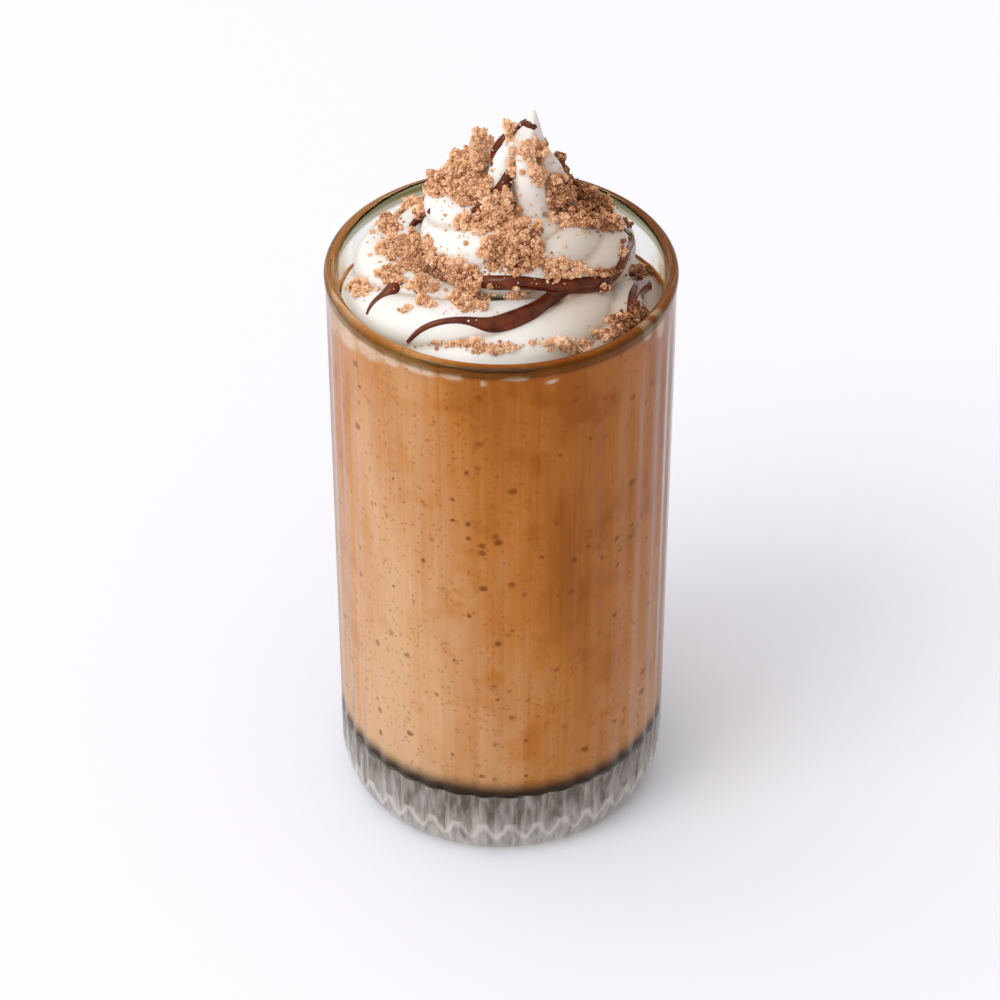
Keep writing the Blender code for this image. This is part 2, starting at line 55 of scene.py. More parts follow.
# Glass: the same sizes as the solid's
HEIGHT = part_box("glass")[1].z
RIM_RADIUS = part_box("glass")[1].x
LIP_THICKNESS = 2.8 * MM
WALL_TOP_RADIUS = 39.8 * MM
HEEL_RADIUS = 39.1 * MM
HEEL_HEIGHT = 12.0 * MM
FOOT_RADIUS = 34.0 * MM
FOOT_RING_WIDTH = 5.0 * MM
KICK_UP = 1.3 * MM
BASE_THICKNESS = 15.0 * MM
INNER_CORNER = 8.0 * MM
INNER_FOOT_RADIUS = 36.0 * MM
INNER_TOP_RADIUS = RIM_RADIUS - LIP_THICKNESS
FLOOR_RING = 14.0 * MM
# Its ribs: a wide and a narrow one in each period
RIB_PERIODS = 19
WIDE_SHARE = 0.55
RIB_DEPTH = 0.70 * MM
FIRST_RIB = math.radians(3.3)
RIB_FADE_TOP = HEIGHT - 4 * MM
RIB_FADE_BOTTOM = HEIGHT - 18 * MM
# They are shallower from this far over the heel, and where they meet it their valleys have this
# share of a sharp edge
RIB_DEPTH_UP_WALL = 0.28 * MM
RIB_SHALLOW_BY = 30 * MM
RIB_EDGE = 0.6
STEPS_PER_RIB = 14
ARCH_LINE = 0.22 * MM
# The foot: its ring, the stippled hollow inside it, and the painted light streaks over it
FOOT_RING_EDGE = 0.4 * MM
FOOT_RING_CHAMFER = 0.15 * MM
HOLLOW_RADIUS = FOOT_RADIUS - FOOT_RING_WIDTH - 2 * KICK_UP
STIPPLE_PITCH = 2.4 * MM
STIPPLE_DEPTH = 0.35 * MM
STEPS_PER_DIMPLE = 5
PAINTED_STREAKS_TOP = 19.5 * MM
# Steps round the bends of the glass's outline, and up its wall
CORNER_STEPS = 10
LIP_STEPS = 16
WALL_STEPS = 20
HEEL_STEPS = 26

# Places closer than this are taken as one
TOUCHING = 1e-6

# Drink
LEVEL_BACK = HEIGHT - 14.5 * MM
FRONT_HEAP = 10.5 * MM
HEAP_SHARPNESS = 2.2
HEAP_STEEPNESS = 1.4
WAVE_HEIGHT = 0.5 * MM
WAVES_ROUND = 3
WAVE_START = 0.8
DRINK_INTO_WALL = 0.2 * MM
DRINK_STEPS = 288
SURFACE_RINGS = 12
WALL_RINGS = 89
# The drink clings to the wall as a film, from its surface up to here over or under the rim
FILM_THICKNESS = 0.6 * MM
FILM_FRONT = -2.6 * MM
FILM_BACK = -13.0 * MM
FILM_RIPPLE = 0.25 * MM
FILM_INNER_RINGS = 5
FILM_OUTER_RINGS = 23
# Foam that clings under the lip: degrees from the front towards +X, height over the rim in mm,
# and half its width in degrees and half its height in mm
FOAM_SMEARS = [
    (-76, -7.5, 11, 5.0), (-63, -6.6, 10, 4.2), (-50, -5.8, 9, 3.2), (-40, -5.0, 6, 2.2),
    (-28, -4.6, 9, 1.8), (-17, -4.4, 6, 1.2), (-6, -5.4, 1.5, 1.2), (5, -4.0, 6, 0.9),
    (17, -5.8, 3, 0.7), (57, -3.6, 4, 3.0), (66, -5.5, 4, 4.4), (95, -11.0, 8, 3.0),
    (-100, -11.0, 10, 3.0), (150, -12.5, 12, 1.6), (-150, -12.5, 12, 1.6),
]

# Camera, at the angle of a person standing over the table
CAMERA_DISTANCE = 0.947
CAMERA_PITCH = math.radians(38.43)
CAMERA_TARGET_HEIGHT = 0.070
CAMERA_LENS = 144.0
CAMERA_SHIFT = (-0.0012, 0.0291)


# ---------------------------------------------------------------- helpers

def linear(colour):
    """An sRGB hex colour as linear RGB with alpha 1."""
    channels = [int(colour[i:i + 2], 16) / 255 for i in (1, 3, 5)]
    rgb = [c / 12.92 if c <= 0.04045 else ((c + 0.055) / 1.055) ** 2.4 for c in channels]
    return (*rgb, 1.0)


def set_stops(ramp, stops):
    """Give a colour ramp its stops, as (place, colour) in their order."""
    for element, (place, colour) in zip(ramp.elements, (stops[0], stops[-1])):
        element.position = place
        element.color = colour
    for place, colour in stops[1:-1]:
        ramp.elements.new(place).color = colour


def add_node(tree, kind, settings=None, links=None):
    """Add a node, with its settings and with what is linked to its inputs.

    A setting goes to the socket of that name or number, or to a property, and "stops" go to the
    colour ramp. A link comes from a socket, or from a node's first output that is in use.
    """
    node = tree.nodes.new(kind)
    for name, value in (settings or {}).items():
        if name == "stops":
            set_stops(node.color_ramp, value)
        elif isinstance(name, int) or name in node.inputs:
            node.inputs[name].default_value = value
        else:
            setattr(node, name, value)
    for name, source in (links or {}).items():
        if isinstance(source, bpy.types.Node):
            source = next(socket for socket in source.outputs if socket.enabled)
        tree.links.new(source, node.inputs[name])
    return node


def deselect():
    if bpy.context.object and bpy.context.object.mode != "OBJECT":
        bpy.ops.object.mode_set(mode="OBJECT")
    bpy.ops.object.select_all(action="DESELECT")


def activate(obj):
    deselect()
    obj.select_set(True)
    bpy.context.view_layer.objects.active = obj


def apply_modifier(obj, name):
    activate(obj)
    bpy.ops.object.modifier_apply(modifier=name)


def new_material(name):
    """An empty node material and its output node."""
    material = bpy.data.materials.new(name)
    material.use_nodes = True
    tree = material.node_tree
    tree.nodes.clear()
    return material, tree, tree.nodes.new("ShaderNodeOutputMaterial")


def smooth(obj, degrees=180.0):
    activate(obj)
    bpy.ops.object.shade_smooth_by_angle(angle=math.radians(degrees))


def spun(name, profile, steps):
    """Extrude a point along a profile of (radius, height), then spin it round Z."""
    deselect()
    bpy.ops.mesh.primitive_plane_add(size=MM, location=(0.0, 0.0, 0.0))
    obj = bpy.context.object
    obj.name = name
    bpy.ops.object.mode_set(mode="EDIT")
    bpy.ops.mesh.merge(type="CENTER")
    bpy.ops.transform.translate(value=(profile[0][0], 0.0, profile[0][1]))
    for before, after in zip(profile, profile[1:]):
        step = (after[0] - before[0], 0.0, after[1] - before[1])
        bpy.ops.mesh.extrude_vertices_move(TRANSFORM_OT_translate={"value": step})
    bpy.ops.mesh.select_all(action="SELECT")
    bpy.ops.mesh.spin(steps=steps, angle=math.tau, center=(0, 0, 0), axis=(0, 0, 1))
    bpy.ops.mesh.select_all(action="SELECT")
    bpy.ops.mesh.remove_doubles(threshold=0.00001)
    bpy.ops.mesh.normals_make_consistent(inside=False)
    bpy.ops.object.mode_set(mode="OBJECT")
    return obj


def arc(centre, radii, start, end, steps):
    """Points on an ellipse's arc in (radius, height), from one angle to another in degrees."""
    points = []
    for i in range(steps + 1):
        angle = math.radians(start + (end - start) * i / steps)
        points.append((centre[0] + radii[0] * math.cos(angle), centre[1] + radii[1] * math.sin(angle)))
    return points


def mesh_object(name, places, faces):
    """An object of these vertices and faces, in the scene."""
    mesh = bpy.data.meshes.new(name)
    mesh.from_pydata(places, [], faces.tolist())
    obj = bpy.data.objects.new(name, mesh)
    bpy.context.scene.collection.objects.link(obj)
    return obj


def new_curve(name):
    curve = bpy.data.curves.new(name, "CURVE")
    curve.dimensions = "3D"
    curve.use_fill_caps = True
    return curve


def add_line(curve, path):
    """Add a line through points of (place, radius, tilt) to a curve."""
    spline = curve.splines.new("POLY")
    spline.points.add(len(path) - 1)
    for point, (place, radius, tilt) in zip(spline.points, path):
        point.co = (*place, 1.0)
        point.radius = radius
        point.tilt = tilt


def curve_as_mesh(curve):
    obj = bpy.data.objects.new(curve.name, curve)
    bpy.context.scene.collection.objects.link(obj)
    activate(obj)
    bpy.ops.object.convert(target="MESH")
    return bpy.context.object


def one_skin(obj, voxel_size):
    """Make overlapping shapes one closed mesh."""
    remesh = obj.modifiers.new("one skin", "REMESH")
    remesh.mode = "VOXEL"
    remesh.voxel_size = voxel_size
    apply_modifier(obj, remesh.name)


def soften(obj, times):
    easing = obj.modifiers.new("soft edges", "SMOOTH")
    easing.factor = 0.5
    easing.iterations = times
    apply_modifier(obj, easing.name)


def note(obj, name, values):
    """Give each vertex a value that materials can read."""
    attribute = obj.data.attributes.new(name, "FLOAT", "POINT")
    attribute.data.foreach_set("value", values)


def outward_normals(obj):
    normals = np.empty(len(obj.data.vertices) * 3)
    obj.data.vertex_normals.foreach_get("vector", normals)
    return normals.reshape(-1, 3)


def vertices(obj):
    places = np.empty(len(obj.data.vertices) * 3)
    obj.data.vertices.foreach_get("co", places)
    return places.reshape(-1, 3)


def move_vertices(obj, places):
    obj.data.vertices.foreach_set("co", places.ravel())
    obj.data.update()


# ---------------------------------------------------------------- glass

def wall_radius(height):
    share = (height - HEEL_HEIGHT) / (HEIGHT - HEEL_HEIGHT)
    return HEEL_RADIUS + (WALL_TOP_RADIUS - HEEL_RADIUS) * share


def inner_radius(height):
    floor = BASE_THICKNESS + INNER_CORNER
    share = (height - floor) / (HEIGHT - LIP_THICKNESS / 2 - floor)
    return INNER_FOOT_RADIUS + (INNER_TOP_RADIUS - INNER_FOOT_RADIUS) * share


# The tumbler's materials, in their order
CLEAR, FROSTED, PAINTED_FOOT = range(3)


def make_tumbler():
    lip = LIP_THICKNESS / 2
    corner_middle = (INNER_FOOT_RADIUS - INNER_CORNER, BASE_THICKNESS + INNER_CORNER)
    profile = [(0.0, BASE_THICKNESS), (FLOOR_RING, BASE_THICKNESS)]
    profile += arc(corner_middle, (INNER_CORNER, INNER_CORNER), -90, 0, CORNER_STEPS)
    profile += arc((RIM_RADIUS - lip, HEIGHT - lip), (lip, lip), 180, 0, LIP_STEPS)
    # The wall's rings lie closer together toward the lip, where the ribs fade
    heights = [RIB_FADE_TOP + (HEEL_HEIGHT - RIB_FADE_TOP) * (i / WALL_STEPS) ** 1.5
               for i in range(WALL_STEPS)]
    heights = sorted(heights + [PAINTED_STREAKS_TOP], reverse=True)
    profile += [(wall_radius(height), height) for height in heights]
    heel = (HEEL_RADIUS - FOOT_RADIUS, HEEL_HEIGHT)
    profile += arc((FOOT_RADIUS, HEEL_HEIGHT), heel, 0, -90, HEEL_STEPS)
    ring = FOOT_RADIUS - FOOT_RING_WIDTH
    profile += [(ring + FOOT_RING_EDGE, 0.0), (ring - FOOT_RING_EDGE, FOOT_RING_CHAMFER)]
    rings = round(HOLLOW_RADIUS / STIPPLE_PITCH * STEPS_PER_DIMPLE)
    profile += [(HOLLOW_RADIUS * (1 - i / rings), KICK_UP) for i in range(rings + 1)]
    tumbler = spun("tumbler", profile, RIB_PERIODS * 2 * STEPS_PER_RIB)
    stipple_underside(tumbler)
    press_ribs(tumbler)
    smooth(tumbler, 60)
    for material in (clear_soda_glass(), frosted_underside(), foot_glass_with_painted_light()):
        tumbler.data.materials.append(material)
    for face in tumbler.data.polygons:
        out = face.center.to_2d()
        if out.length < ring:
            under_foot = face.center.z < 1.6 * KICK_UP and face.normal.z < -0.3
            face.material_index = FROSTED if under_foot else CLEAR
        else:
            outer_wall = face.center.z < PAINTED_STREAKS_TOP and face.normal.to_2d().dot(out) > 0
            face.material_index = PAINTED_FOOT if outer_wall else CLEAR
    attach(tumbler, "root")
    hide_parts("glass")


def stipple_underside(tumbler):
    """Mould a grid of round dimples into the hollow under the foot, so that it glitters."""
    places = vertices(tumbler)
    under = np.abs(places[:, 2] - KICK_UP) < TOUCHING
    waves = np.cos(math.tau * places[:, :2] / STIPPLE_PITCH).prod(axis=1)
    reach = np.hypot(places[:, 0], places[:, 1])
    edge = np.clip((HOLLOW_RADIUS - reach) / STIPPLE_PITCH, 0.0, 1.0)
    places[:, 2] += np.where(under, STIPPLE_DEPTH * waves * edge, 0.0)
    move_vertices(tumbler, places)


def press_ribs(tumbler):
    """Press wide and narrow ribs into the outer wall. They end at the heel as round arches.

    The attribute "arch" is 1 along the line of the arches, and 0 away from it. A painted highlight
    follows it.
    """
    places = vertices(tumbler)
    radius = np.hypot(places[:, 0], places[:, 1])
    height = places[:, 2]
    steps = 2 * STEPS_PER_RIB
    turn = np.round(np.arctan2(places[:, 1], places[:, 0]) / (math.tau / (RIB_PERIODS * steps)))
    period, step = np.divmod(turn, steps)
    wide = step < STEPS_PER_RIB
    across = np.where(wide, step, step - STEPS_PER_RIB) / STEPS_PER_RIB
    share = np.where(wide, WIDE_SHARE * across, WIDE_SHARE + (1 - WIDE_SHARE) * across)
    start = FIRST_RIB - math.pi / 2 - math.tau / RIB_PERIODS * WIDE_SHARE / 2
    angle = start + math.tau / RIB_PERIODS * (period + share)
    fade = np.clip((RIB_FADE_TOP - height) / (RIB_FADE_TOP - RIB_FADE_BOTTOM), 0.0, 1.0)
    up_wall = np.clip((height - HEEL_HEIGHT) / RIB_SHALLOW_BY, 0.0, 1.0)
    depth = RIB_DEPTH + (RIB_DEPTH_UP_WALL - RIB_DEPTH) * up_wall
    # The valleys between the ribs are sharp at the heel, and round up the wall
    sharp = RIB_EDGE * (1 - up_wall)
    bow = sharp * (2 * across - 1) ** 2 + (1 - sharp) * np.cos(math.pi * across) ** 2
    cut = wall_radius(height) - depth * fade * bow
    outside = radius > inner_radius(height) + LIP_THICKNESS / 2
    outside |= height < BASE_THICKNESS - 0.1 * MM
    ribbed = outside & (height > 0) & (height < RIB_FADE_TOP - 10 * TOUCHING)
    from_arch = np.abs(radius - cut) / ARCH_LINE
    on_heel = ribbed & (height < HEEL_HEIGHT - 1 * MM)
    note(tumbler, "arch", np.where(on_heel, np.clip(1 - from_arch, 0.0, 1.0), 0.0))
    radius = np.where(ribbed, np.minimum(radius, cut), radius)
    places[:, 0] = radius * np.cos(angle)
    places[:, 1] = radius * np.sin(angle)
    move_vertices(tumbler, places)


def finish_glass(tree, output, shader):
    """Let light through to what is in the glass, and give the glass its cast where it is thick."""
    clear = add_node(tree, "ShaderNodeBsdfTransparent", {"Color": linear("#F4F4EE")})
    ray = add_node(tree, "ShaderNodeLightPath")
    either = add_node(tree, "ShaderNodeMixShader", {},
                      {0: ray.outputs["Is Shadow Ray"], 1: shader, 2: clear})
    tree.links.new(either.outputs["Shader"], output.inputs["Surface"])
    absorption = add_node(tree, "ShaderNodeVolumeAbsorption", {
        "Color": linear("#CBC7B8"), "Density": 8.0})
    tree.links.new(absorption.outputs["Volume"], output.inputs["Volume"])


def outward_of_axis(tree, coordinates):
    """The part of a place that is square to the glass's axis, and its direction."""
    flat = add_node(tree, "ShaderNodeVectorMath", {"operation": "MULTIPLY", 1: (1.0, 1.0, 0.0)},
                    {0: coordinates})
    outward = add_node(tree, "ShaderNodeVectorMath", {"operation": "NORMALIZE"}, {0: flat})
    return flat, outward


def foot_glass_with_painted_light():
    """The foot's wall, with painted light: pale and dark streaks for the light that its ribs refract.
    """
    material, tree, output = new_material("foot glass with painted light streaks")
    coordinates = add_node(tree, "ShaderNodeTexCoord").outputs["Object"]
    # Painted light: streaks some 1.5 mm wide and 6 mm tall round the wall, for the light the ribs
    # refract
    _, outward = outward_of_axis(tree, coordinates)
    upward = add_node(tree, "ShaderNodeVectorMath", {"operation": "MULTIPLY", 1: (0.0, 0.0, 5.0)},
                      {0: coordinates})
    round_wall = add_node(tree, "ShaderNodeVectorMath", {"operation": "ADD"},
                          {0: outward, 1: upward})
    streaks = add_node(tree, "ShaderNodeTexNoise", {
        "Scale": 22.0, "Detail": 3.0, "Roughness": 0.6, "Distortion": 0.2}, {"Vector": round_wall})
    # Painted shade: the streaks darken up toward the drink. A painted highlight runs along each rib's
    # arch at the heel
    place = add_node(tree, "ShaderNodeSeparateXYZ", {}, {"Vector": coordinates})
    shade = add_node(tree, "ShaderNodeMapRange", {
        "From Min": 9 * MM, "From Max": PAINTED_STREAKS_TOP, "To Min": 0.0, "To Max": -0.16},
        {"Value": place.outputs["Z"]})
    arch = add_node(tree, "ShaderNodeAttribute", {"attribute_name": "arch"})
    arch_highlight_and_shade = add_node(tree, "ShaderNodeMath", {"operation": "MULTIPLY_ADD", 1: 0.30},
                    {0: arch.outputs["Fac"], 2: shade})
    amount = add_node(tree, "ShaderNodeMath", {"operation": "ADD"}, {0: streaks, 1: arch_highlight_and_shade})
    streaked = add_node(tree, "ShaderNodeValToRGB", {
        "stops": [(0.26, linear("#7E746C")), (0.74, linear("#FFFCF8"))]}, {"Fac": amount})
    bump = add_node(tree, "ShaderNodeBump", {"Strength": 0.5, "Distance": 0.2 * MM},
                    {"Height": streaks})
    shader = add_node(tree, "ShaderNodeBsdfPrincipled", {
        "Roughness": 0.12, "IOR": 1.44, "Specular Tint": linear("#E2C49C"),
        "Transmission Weight": 0.62}, {"Base Color": streaked, "Normal": bump})
    finish_glass(tree, output, shader)
    return material


def clear_soda_glass():
    """Pressed soda-lime glass: clear, slightly green-grey where it is thick."""
    material, tree, output = new_material("clear pressed soda-lime glass")
    coordinates = add_node(tree, "ShaderNodeTexCoord").outputs["Object"]
    # Mould waviness, drawn out along the wall
    stretched = add_node(tree, "ShaderNodeMapping", {"Scale": (350.0, 350.0, 25.0)},
                         {"Vector": coordinates})
    wave = add_node(tree, "ShaderNodeTexNoise", {"Scale": 1.0, "Detail": 2.0},
                    {"Vector": stretched})
    bump = add_node(tree, "ShaderNodeBump", {"Strength": 0.25, "Distance": 0.15 * MM},
                    {"Height": wave})
    shader = add_node(tree, "ShaderNodeBsdfPrincipled", {
        "Roughness": 0.0, "IOR": 1.38, "Specular Tint": linear("#DCB684"),
        "Transmission Weight": 1.0}, {"Normal": bump})
    # The lip is thick all round and shows the glass's own olive cast, with painted shade on its flanks
    # and a painted highlight on top
    place = add_node(tree, "ShaderNodeSeparateXYZ", {}, {"Vector": coordinates})
    up_lip = add_node(tree, "ShaderNodeMapRange", {
        "From Min": HEIGHT - 1.3 * LIP_THICKNESS, "From Max": HEIGHT},
        {"Value": place.outputs["Z"]})
    lip_cast_and_highlight = add_node(tree, "ShaderNodeValToRGB", {"stops": [
        (0.0, linear("#F8F8F2")), (0.28, linear("#6C6844")), (0.42, linear("#868262")),
        (0.80, linear("#6A683E")), (0.93, linear("#B8AC80")), (1.0, linear("#F4E6C0"))]},
        {"Fac": up_lip})
    # Its wall seen edge on takes the olive cast too, ending in a painted dark outline at the very edge
    edge = add_node(tree, "ShaderNodeLayerWeight", {"Blend": 0.5})
    edge_cast_and_outline = add_node(tree, "ShaderNodeValToRGB", {"stops": [
        (0.64, linear("#FFFFFF")), (0.76, linear("#D8BC8C")), (0.88, linear("#8C7444")),
        (0.97, linear("#3E3218"))]}, {"Fac": edge.outputs["Facing"]})
    colour = add_node(tree, "ShaderNodeMix", {
        "data_type": "RGBA", "blend_type": "MULTIPLY", 0: 1.0}, {6: lip_cast_and_highlight, 7: edge_cast_and_outline})
    tree.links.new(colour.outputs[2], shader.inputs["Base Color"])
    finish_glass(tree, output, shader)
    return material


def frosted_underside():
    """The stippled hollow under the foot, scratched to a frost by use."""
    material, tree, output = new_material("frosted pressed glass")
    coordinates = add_node(tree, "ShaderNodeTexCoord").outputs["Object"]
    # Streaks that run out from the middle, some 3 mm wide at the foot, and scuffs across them
    flat, outward = outward_of_axis(tree, coordinates)
    reach = add_node(tree, "ShaderNodeVectorMath", {"operation": "LENGTH"}, {0: flat})
    streaks = add_node(tree, "ShaderNodeTexNoise", {"Scale": 9.0, "Detail": 3.0, "Roughness": 0.6},
                       {"Vector": outward})
    scuffs = add_node(tree, "ShaderNodeTexNoise", {"Scale": 350.0, "Detail": 3.0},
                      {"Vector": coordinates})
    scuffed = add_node(tree, "ShaderNodeMath", {"operation": "MULTIPLY_ADD", 1: 0.35},
                       {0: scuffs, 2: streaks})
    frost = add_node(tree, "ShaderNodeValToRGB", {
        "stops": [(0.55, linear("#D6D3CC")), (0.80, linear("#FFFFFF"))]}, {"Fac": scuffed})
    # Painted shade: the hollow's middle is darkened, where the drink stands over it
    wavy = add_node(tree, "ShaderNodeMath", {"operation": "MULTIPLY_ADD", 1: 8 * MM},
                    {0: streaks, 2: reach})
    lit = add_node(tree, "ShaderNodeMapRange", {
        "From Min": 11 * MM, "From Max": 21 * MM, "To Min": 0.0, "To Max": 1.0,
        "interpolation_type": "SMOOTHSTEP"}, {"Value": wavy})
    shaded = add_node(tree, "ShaderNodeMix", {"data_type": "RGBA", 6: linear("#8E8278")},
                      {0: lit, 7: frost})
    shader = add_node(tree, "ShaderNodeBsdfPrincipled", {"Roughness": 0.4, "IOR": 1.5},
                      {"Base Color": shaded})
    tree.links.new(shader.outputs["BSDF"], output.inputs["Surface"])
    return material


# ---------------------------------------------------------------- drink

def level(x, y):
    """Height of the drink's surface."""
    radius = np.hypot(x, y) / INNER_TOP_RADIUS
    angle = np.arctan2(y, x)
    heap = FRONT_HEAP * ((1 - np.sin(angle)) / 2) ** HEAP_SHARPNESS * radius ** HEAP_STEEPNESS
    wave = WAVE_HEIGHT * radius * np.sin(WAVES_ROUND * angle + WAVE_START)
    return LEVEL_BACK + heap + wave


def film_top(angle):
    """Height that the drink's film reaches on the wall, at an angle round the glass."""
    front = (1 - np.sin(angle)) / 2
    reach = FILM_BACK + (FILM_FRONT - FILM_BACK) * np.clip(front * 1.4, 0.0, 1.0) ** 1.5
    ripple = 0.5 * np.sin(5 * angle + 1.0) + 0.3 * np.sin(11 * angle + 2.0) + 0.2 * np.sin(23 * angle)
    return HEIGHT + reach + FILM_RIPPLE * ripple


def make_drink():
    edge = inner_radius(LEVEL_BACK) + DRINK_INTO_WALL
    corner = INNER_CORNER + DRINK_INTO_WALL
    middle = (INNER_FOOT_RADIUS - INNER_CORNER, BASE_THICKNESS + INNER_CORNER)
    film_inside = edge - FILM_THICKNESS
    profile = [(film_inside * i / SURFACE_RINGS, LEVEL_BACK) for i in range(SURFACE_RINGS + 1)]
    up_film = np.linspace(LEVEL_BACK, HEIGHT, FILM_INNER_RINGS + 1)
    profile += [(film_inside, height) for height in up_film[1:]]
    down_film = np.linspace(HEIGHT, LEVEL_BACK, FILM_OUTER_RINGS + 1)
    profile += [(edge, height) for height in down_film[:-1]]
    down_wall = np.linspace(LEVEL_BACK, BASE_THICKNESS + INNER_CORNER, WALL_RINGS + 1)
    profile += [(inner_radius(height) + DRINK_INTO_WALL, height) for height in down_wall]
    profile += arc(middle, (corner, corner), 0, -90, CORNER_STEPS)[1:]
    profile += [(0.0, BASE_THICKNESS - DRINK_INTO_WALL)]
    drink = spun("blended_coffee", profile, DRINK_STEPS)
    places = vertices(drink)
    angle = np.arctan2(places[:, 1], places[:, 0])
    radius = np.hypot(places[:, 0], places[:, 1])
    inside = radius < edge - 0.5 * FILM_THICKNESS
    surface = inside & (np.abs(places[:, 2] - LEVEL_BACK) < TOUCHING)
    places[surface, 2] = level(places[surface, 0], places[surface, 1])
    # The film's rings share out its height, from the surface or the wall up to its uneven top
    film = (places[:, 2] > LEVEL_BACK + TOUCHING) & ~surface
    foot = np.where(inside, level(places[:, 0], places[:, 1]), LEVEL_BACK)
    share = (places[:, 2] - LEVEL_BACK) / (HEIGHT - LEVEL_BACK)
    places[film, 2] = (foot + share * (film_top(angle) - foot))[film]
    move_vertices(drink, places)
    note(drink, "foam", foam_on_wall(angle, places[:, 2]))
    smooth(drink, 50)
    drink.data.materials.append(blended_coffee())
    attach(drink, "root")
    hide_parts("frappe")


def foam_on_wall(angle, height):
    """How much milk foam clings under the lip, at each angle and height."""
    foam = np.zeros(len(angle))
    for turn, below, half_turn, half_height in FOAM_SMEARS:
        away = (np.degrees(angle) + 90 - turn + 180) % 360 - 180
        near = 1 - np.hypot(away / half_turn, (height - HEIGHT - MM * below) / (MM * half_height))
        foam = np.maximum(foam, np.clip(2 * near, 0.0, 1.0))
    return foam


def milk_coffee_and_painted_light(tree, coordinates, place, cloud):
    """The colour of the liquid: pale where there is more milk and amber where there is less, with
    painted light and shade across it.
    """
    milkiness_and_light = add_node(tree, "ShaderNodeMath", {"operation": "MULTIPLY", 1: 0.9}, {0: cloud})
    # Painted light and shade: paler on the left, where the light falls, to darker right of the middle,
    # a little paler at the right edge and a little darker at the left edge; and darker from the foot
    # up to the lip
    painted_light_and_height_shifts = [
        ("X", "SMOOTHSTEP", -22 * MM, 16 * MM, 0.24, -0.29),
        ("X", "SMOOTHSTEP", 16 * MM, 36 * MM, 0.0, 0.20),
        ("X", "SMOOTHSTEP", -38 * MM, -31 * MM, -0.10, 0.0),
        ("Z", "LINEAR", BASE_THICKNESS, HEIGHT, 0.29, -0.10)]
    for axis, easing, start, end, first, last in painted_light_and_height_shifts:
        shift = add_node(tree, "ShaderNodeMapRange", {
            "From Min": start, "From Max": end, "To Min": first, "To Max": last,
            "interpolation_type": easing}, {"Value": place.outputs[axis]})
        milkiness_and_light = add_node(tree, "ShaderNodeMath", {"operation": "ADD"}, {0: milkiness_and_light, 1: shift})
    # Blotches some 12 mm across, where the coffee is stronger
    blotches = add_node(tree, "ShaderNodeTexNoise", {
        "Scale": 85.0, "Detail": 3.0, "Roughness": 0.6}, {"Vector": coordinates})
    strong = add_node(tree, "ShaderNodeMapRange", {
        "From Min": 0.52, "From Max": 0.68, "To Min": 0.0, "To Max": -0.16}, {"Value": blotches})
    blotched = add_node(tree, "ShaderNodeMath", {"operation": "ADD"}, {0: milkiness_and_light, 1: strong})
    # Thin runs of milk down the wall, under 1 mm wide and some 50 mm long
    runs = add_node(tree, "ShaderNodeMapping", {"Scale": (1300.0, 1300.0, 16.0)},
                    {"Vector": coordinates})
    run = add_node(tree, "ShaderNodeTexNoise", {"Scale": 1.0, "Detail": 2.0}, {"Vector": runs})
    thin_or_thick = add_node(tree, "ShaderNodeMath", {
        "operation": "MULTIPLY_ADD", 1: 0.26, 2: -0.13}, {0: run})
    drawn_down = add_node(tree, "ShaderNodeMath", {"operation": "ADD"},
                          {0: blotched, 1: thin_or_thick})
    return add_node(tree, "ShaderNodeValToRGB", {"stops": [
        (0.08, linear("#AA5C0A")), (0.42, linear("#CA8036")), (0.68, linear("#D89E6C")),
        (0.95, linear("#E6BA92"))]}, {"Fac": drawn_down})


def specks_and_grounds(tree, coordinates):
    """How dark the coffee's specks and its finer grounds are."""
    # Specks about 0.8 mm across, in cells of some 3 mm
    ragged = add_node(tree, "ShaderNodeTexNoise", {"Scale": 1100.0, "Detail": 2.0},
                      {"Vector": coordinates})
    shaken = add_node(tree, "ShaderNodeVectorMath", {
        "operation": "MULTIPLY_ADD", 1: (0.9 * MM, 0.9 * MM, 0.9 * MM)},
        {0: ragged.outputs["Color"], 2: coordinates})
    cells = add_node(tree, "ShaderNodeTexVoronoi", {"Scale": 300.0, "Randomness": 1.0},
                     {"Vector": shaken})
    # No two are of one size, and the smaller ones lie deeper in the milk
    drawn_lot = add_node(tree, "ShaderNodeSeparateColor", {}, {"Color": cells.outputs["Color"]})
    smaller = add_node(tree, "ShaderNodeMath", {"operation": "MULTIPLY_ADD", 1: 1.3, 2: 0.8},
                       {0: drawn_lot.outputs["Green"]})
    apart = add_node(tree, "ShaderNodeMath", {"operation": "MULTIPLY"}, {0: cells, 1: smaller})
    near = add_node(tree, "ShaderNodeMapRange", {
        "From Min": 0.15, "From Max": 0.30, "To Min": 1.0, "To Max": 0.0}, {"Value": apart})
    some = add_node(tree, "ShaderNodeMapRange", {
        "From Min": 0.25, "From Max": 1.0, "To Min": 0.0, "To Max": 1.0},
        {"Value": drawn_lot.outputs["Red"]})
    speck = add_node(tree, "ShaderNodeMath", {"operation": "MULTIPLY"}, {0: near, 1: some})
    # Finer grounds, about 0.4 mm across
    grains = add_node(tree, "ShaderNodeTexVoronoi", {"Scale": 620.0, "Randomness": 1.0},
                      {"Vector": shaken})
    grain = add_node(tree, "ShaderNodeMapRange", {
        "From Min": 0.12, "From Max": 0.28, "To Min": 0.42, "To Max": 0.0}, {"Value": grains})
    return add_node(tree, "ShaderNodeMath", {"operation": "MAXIMUM"}, {0: speck, 1: grain})


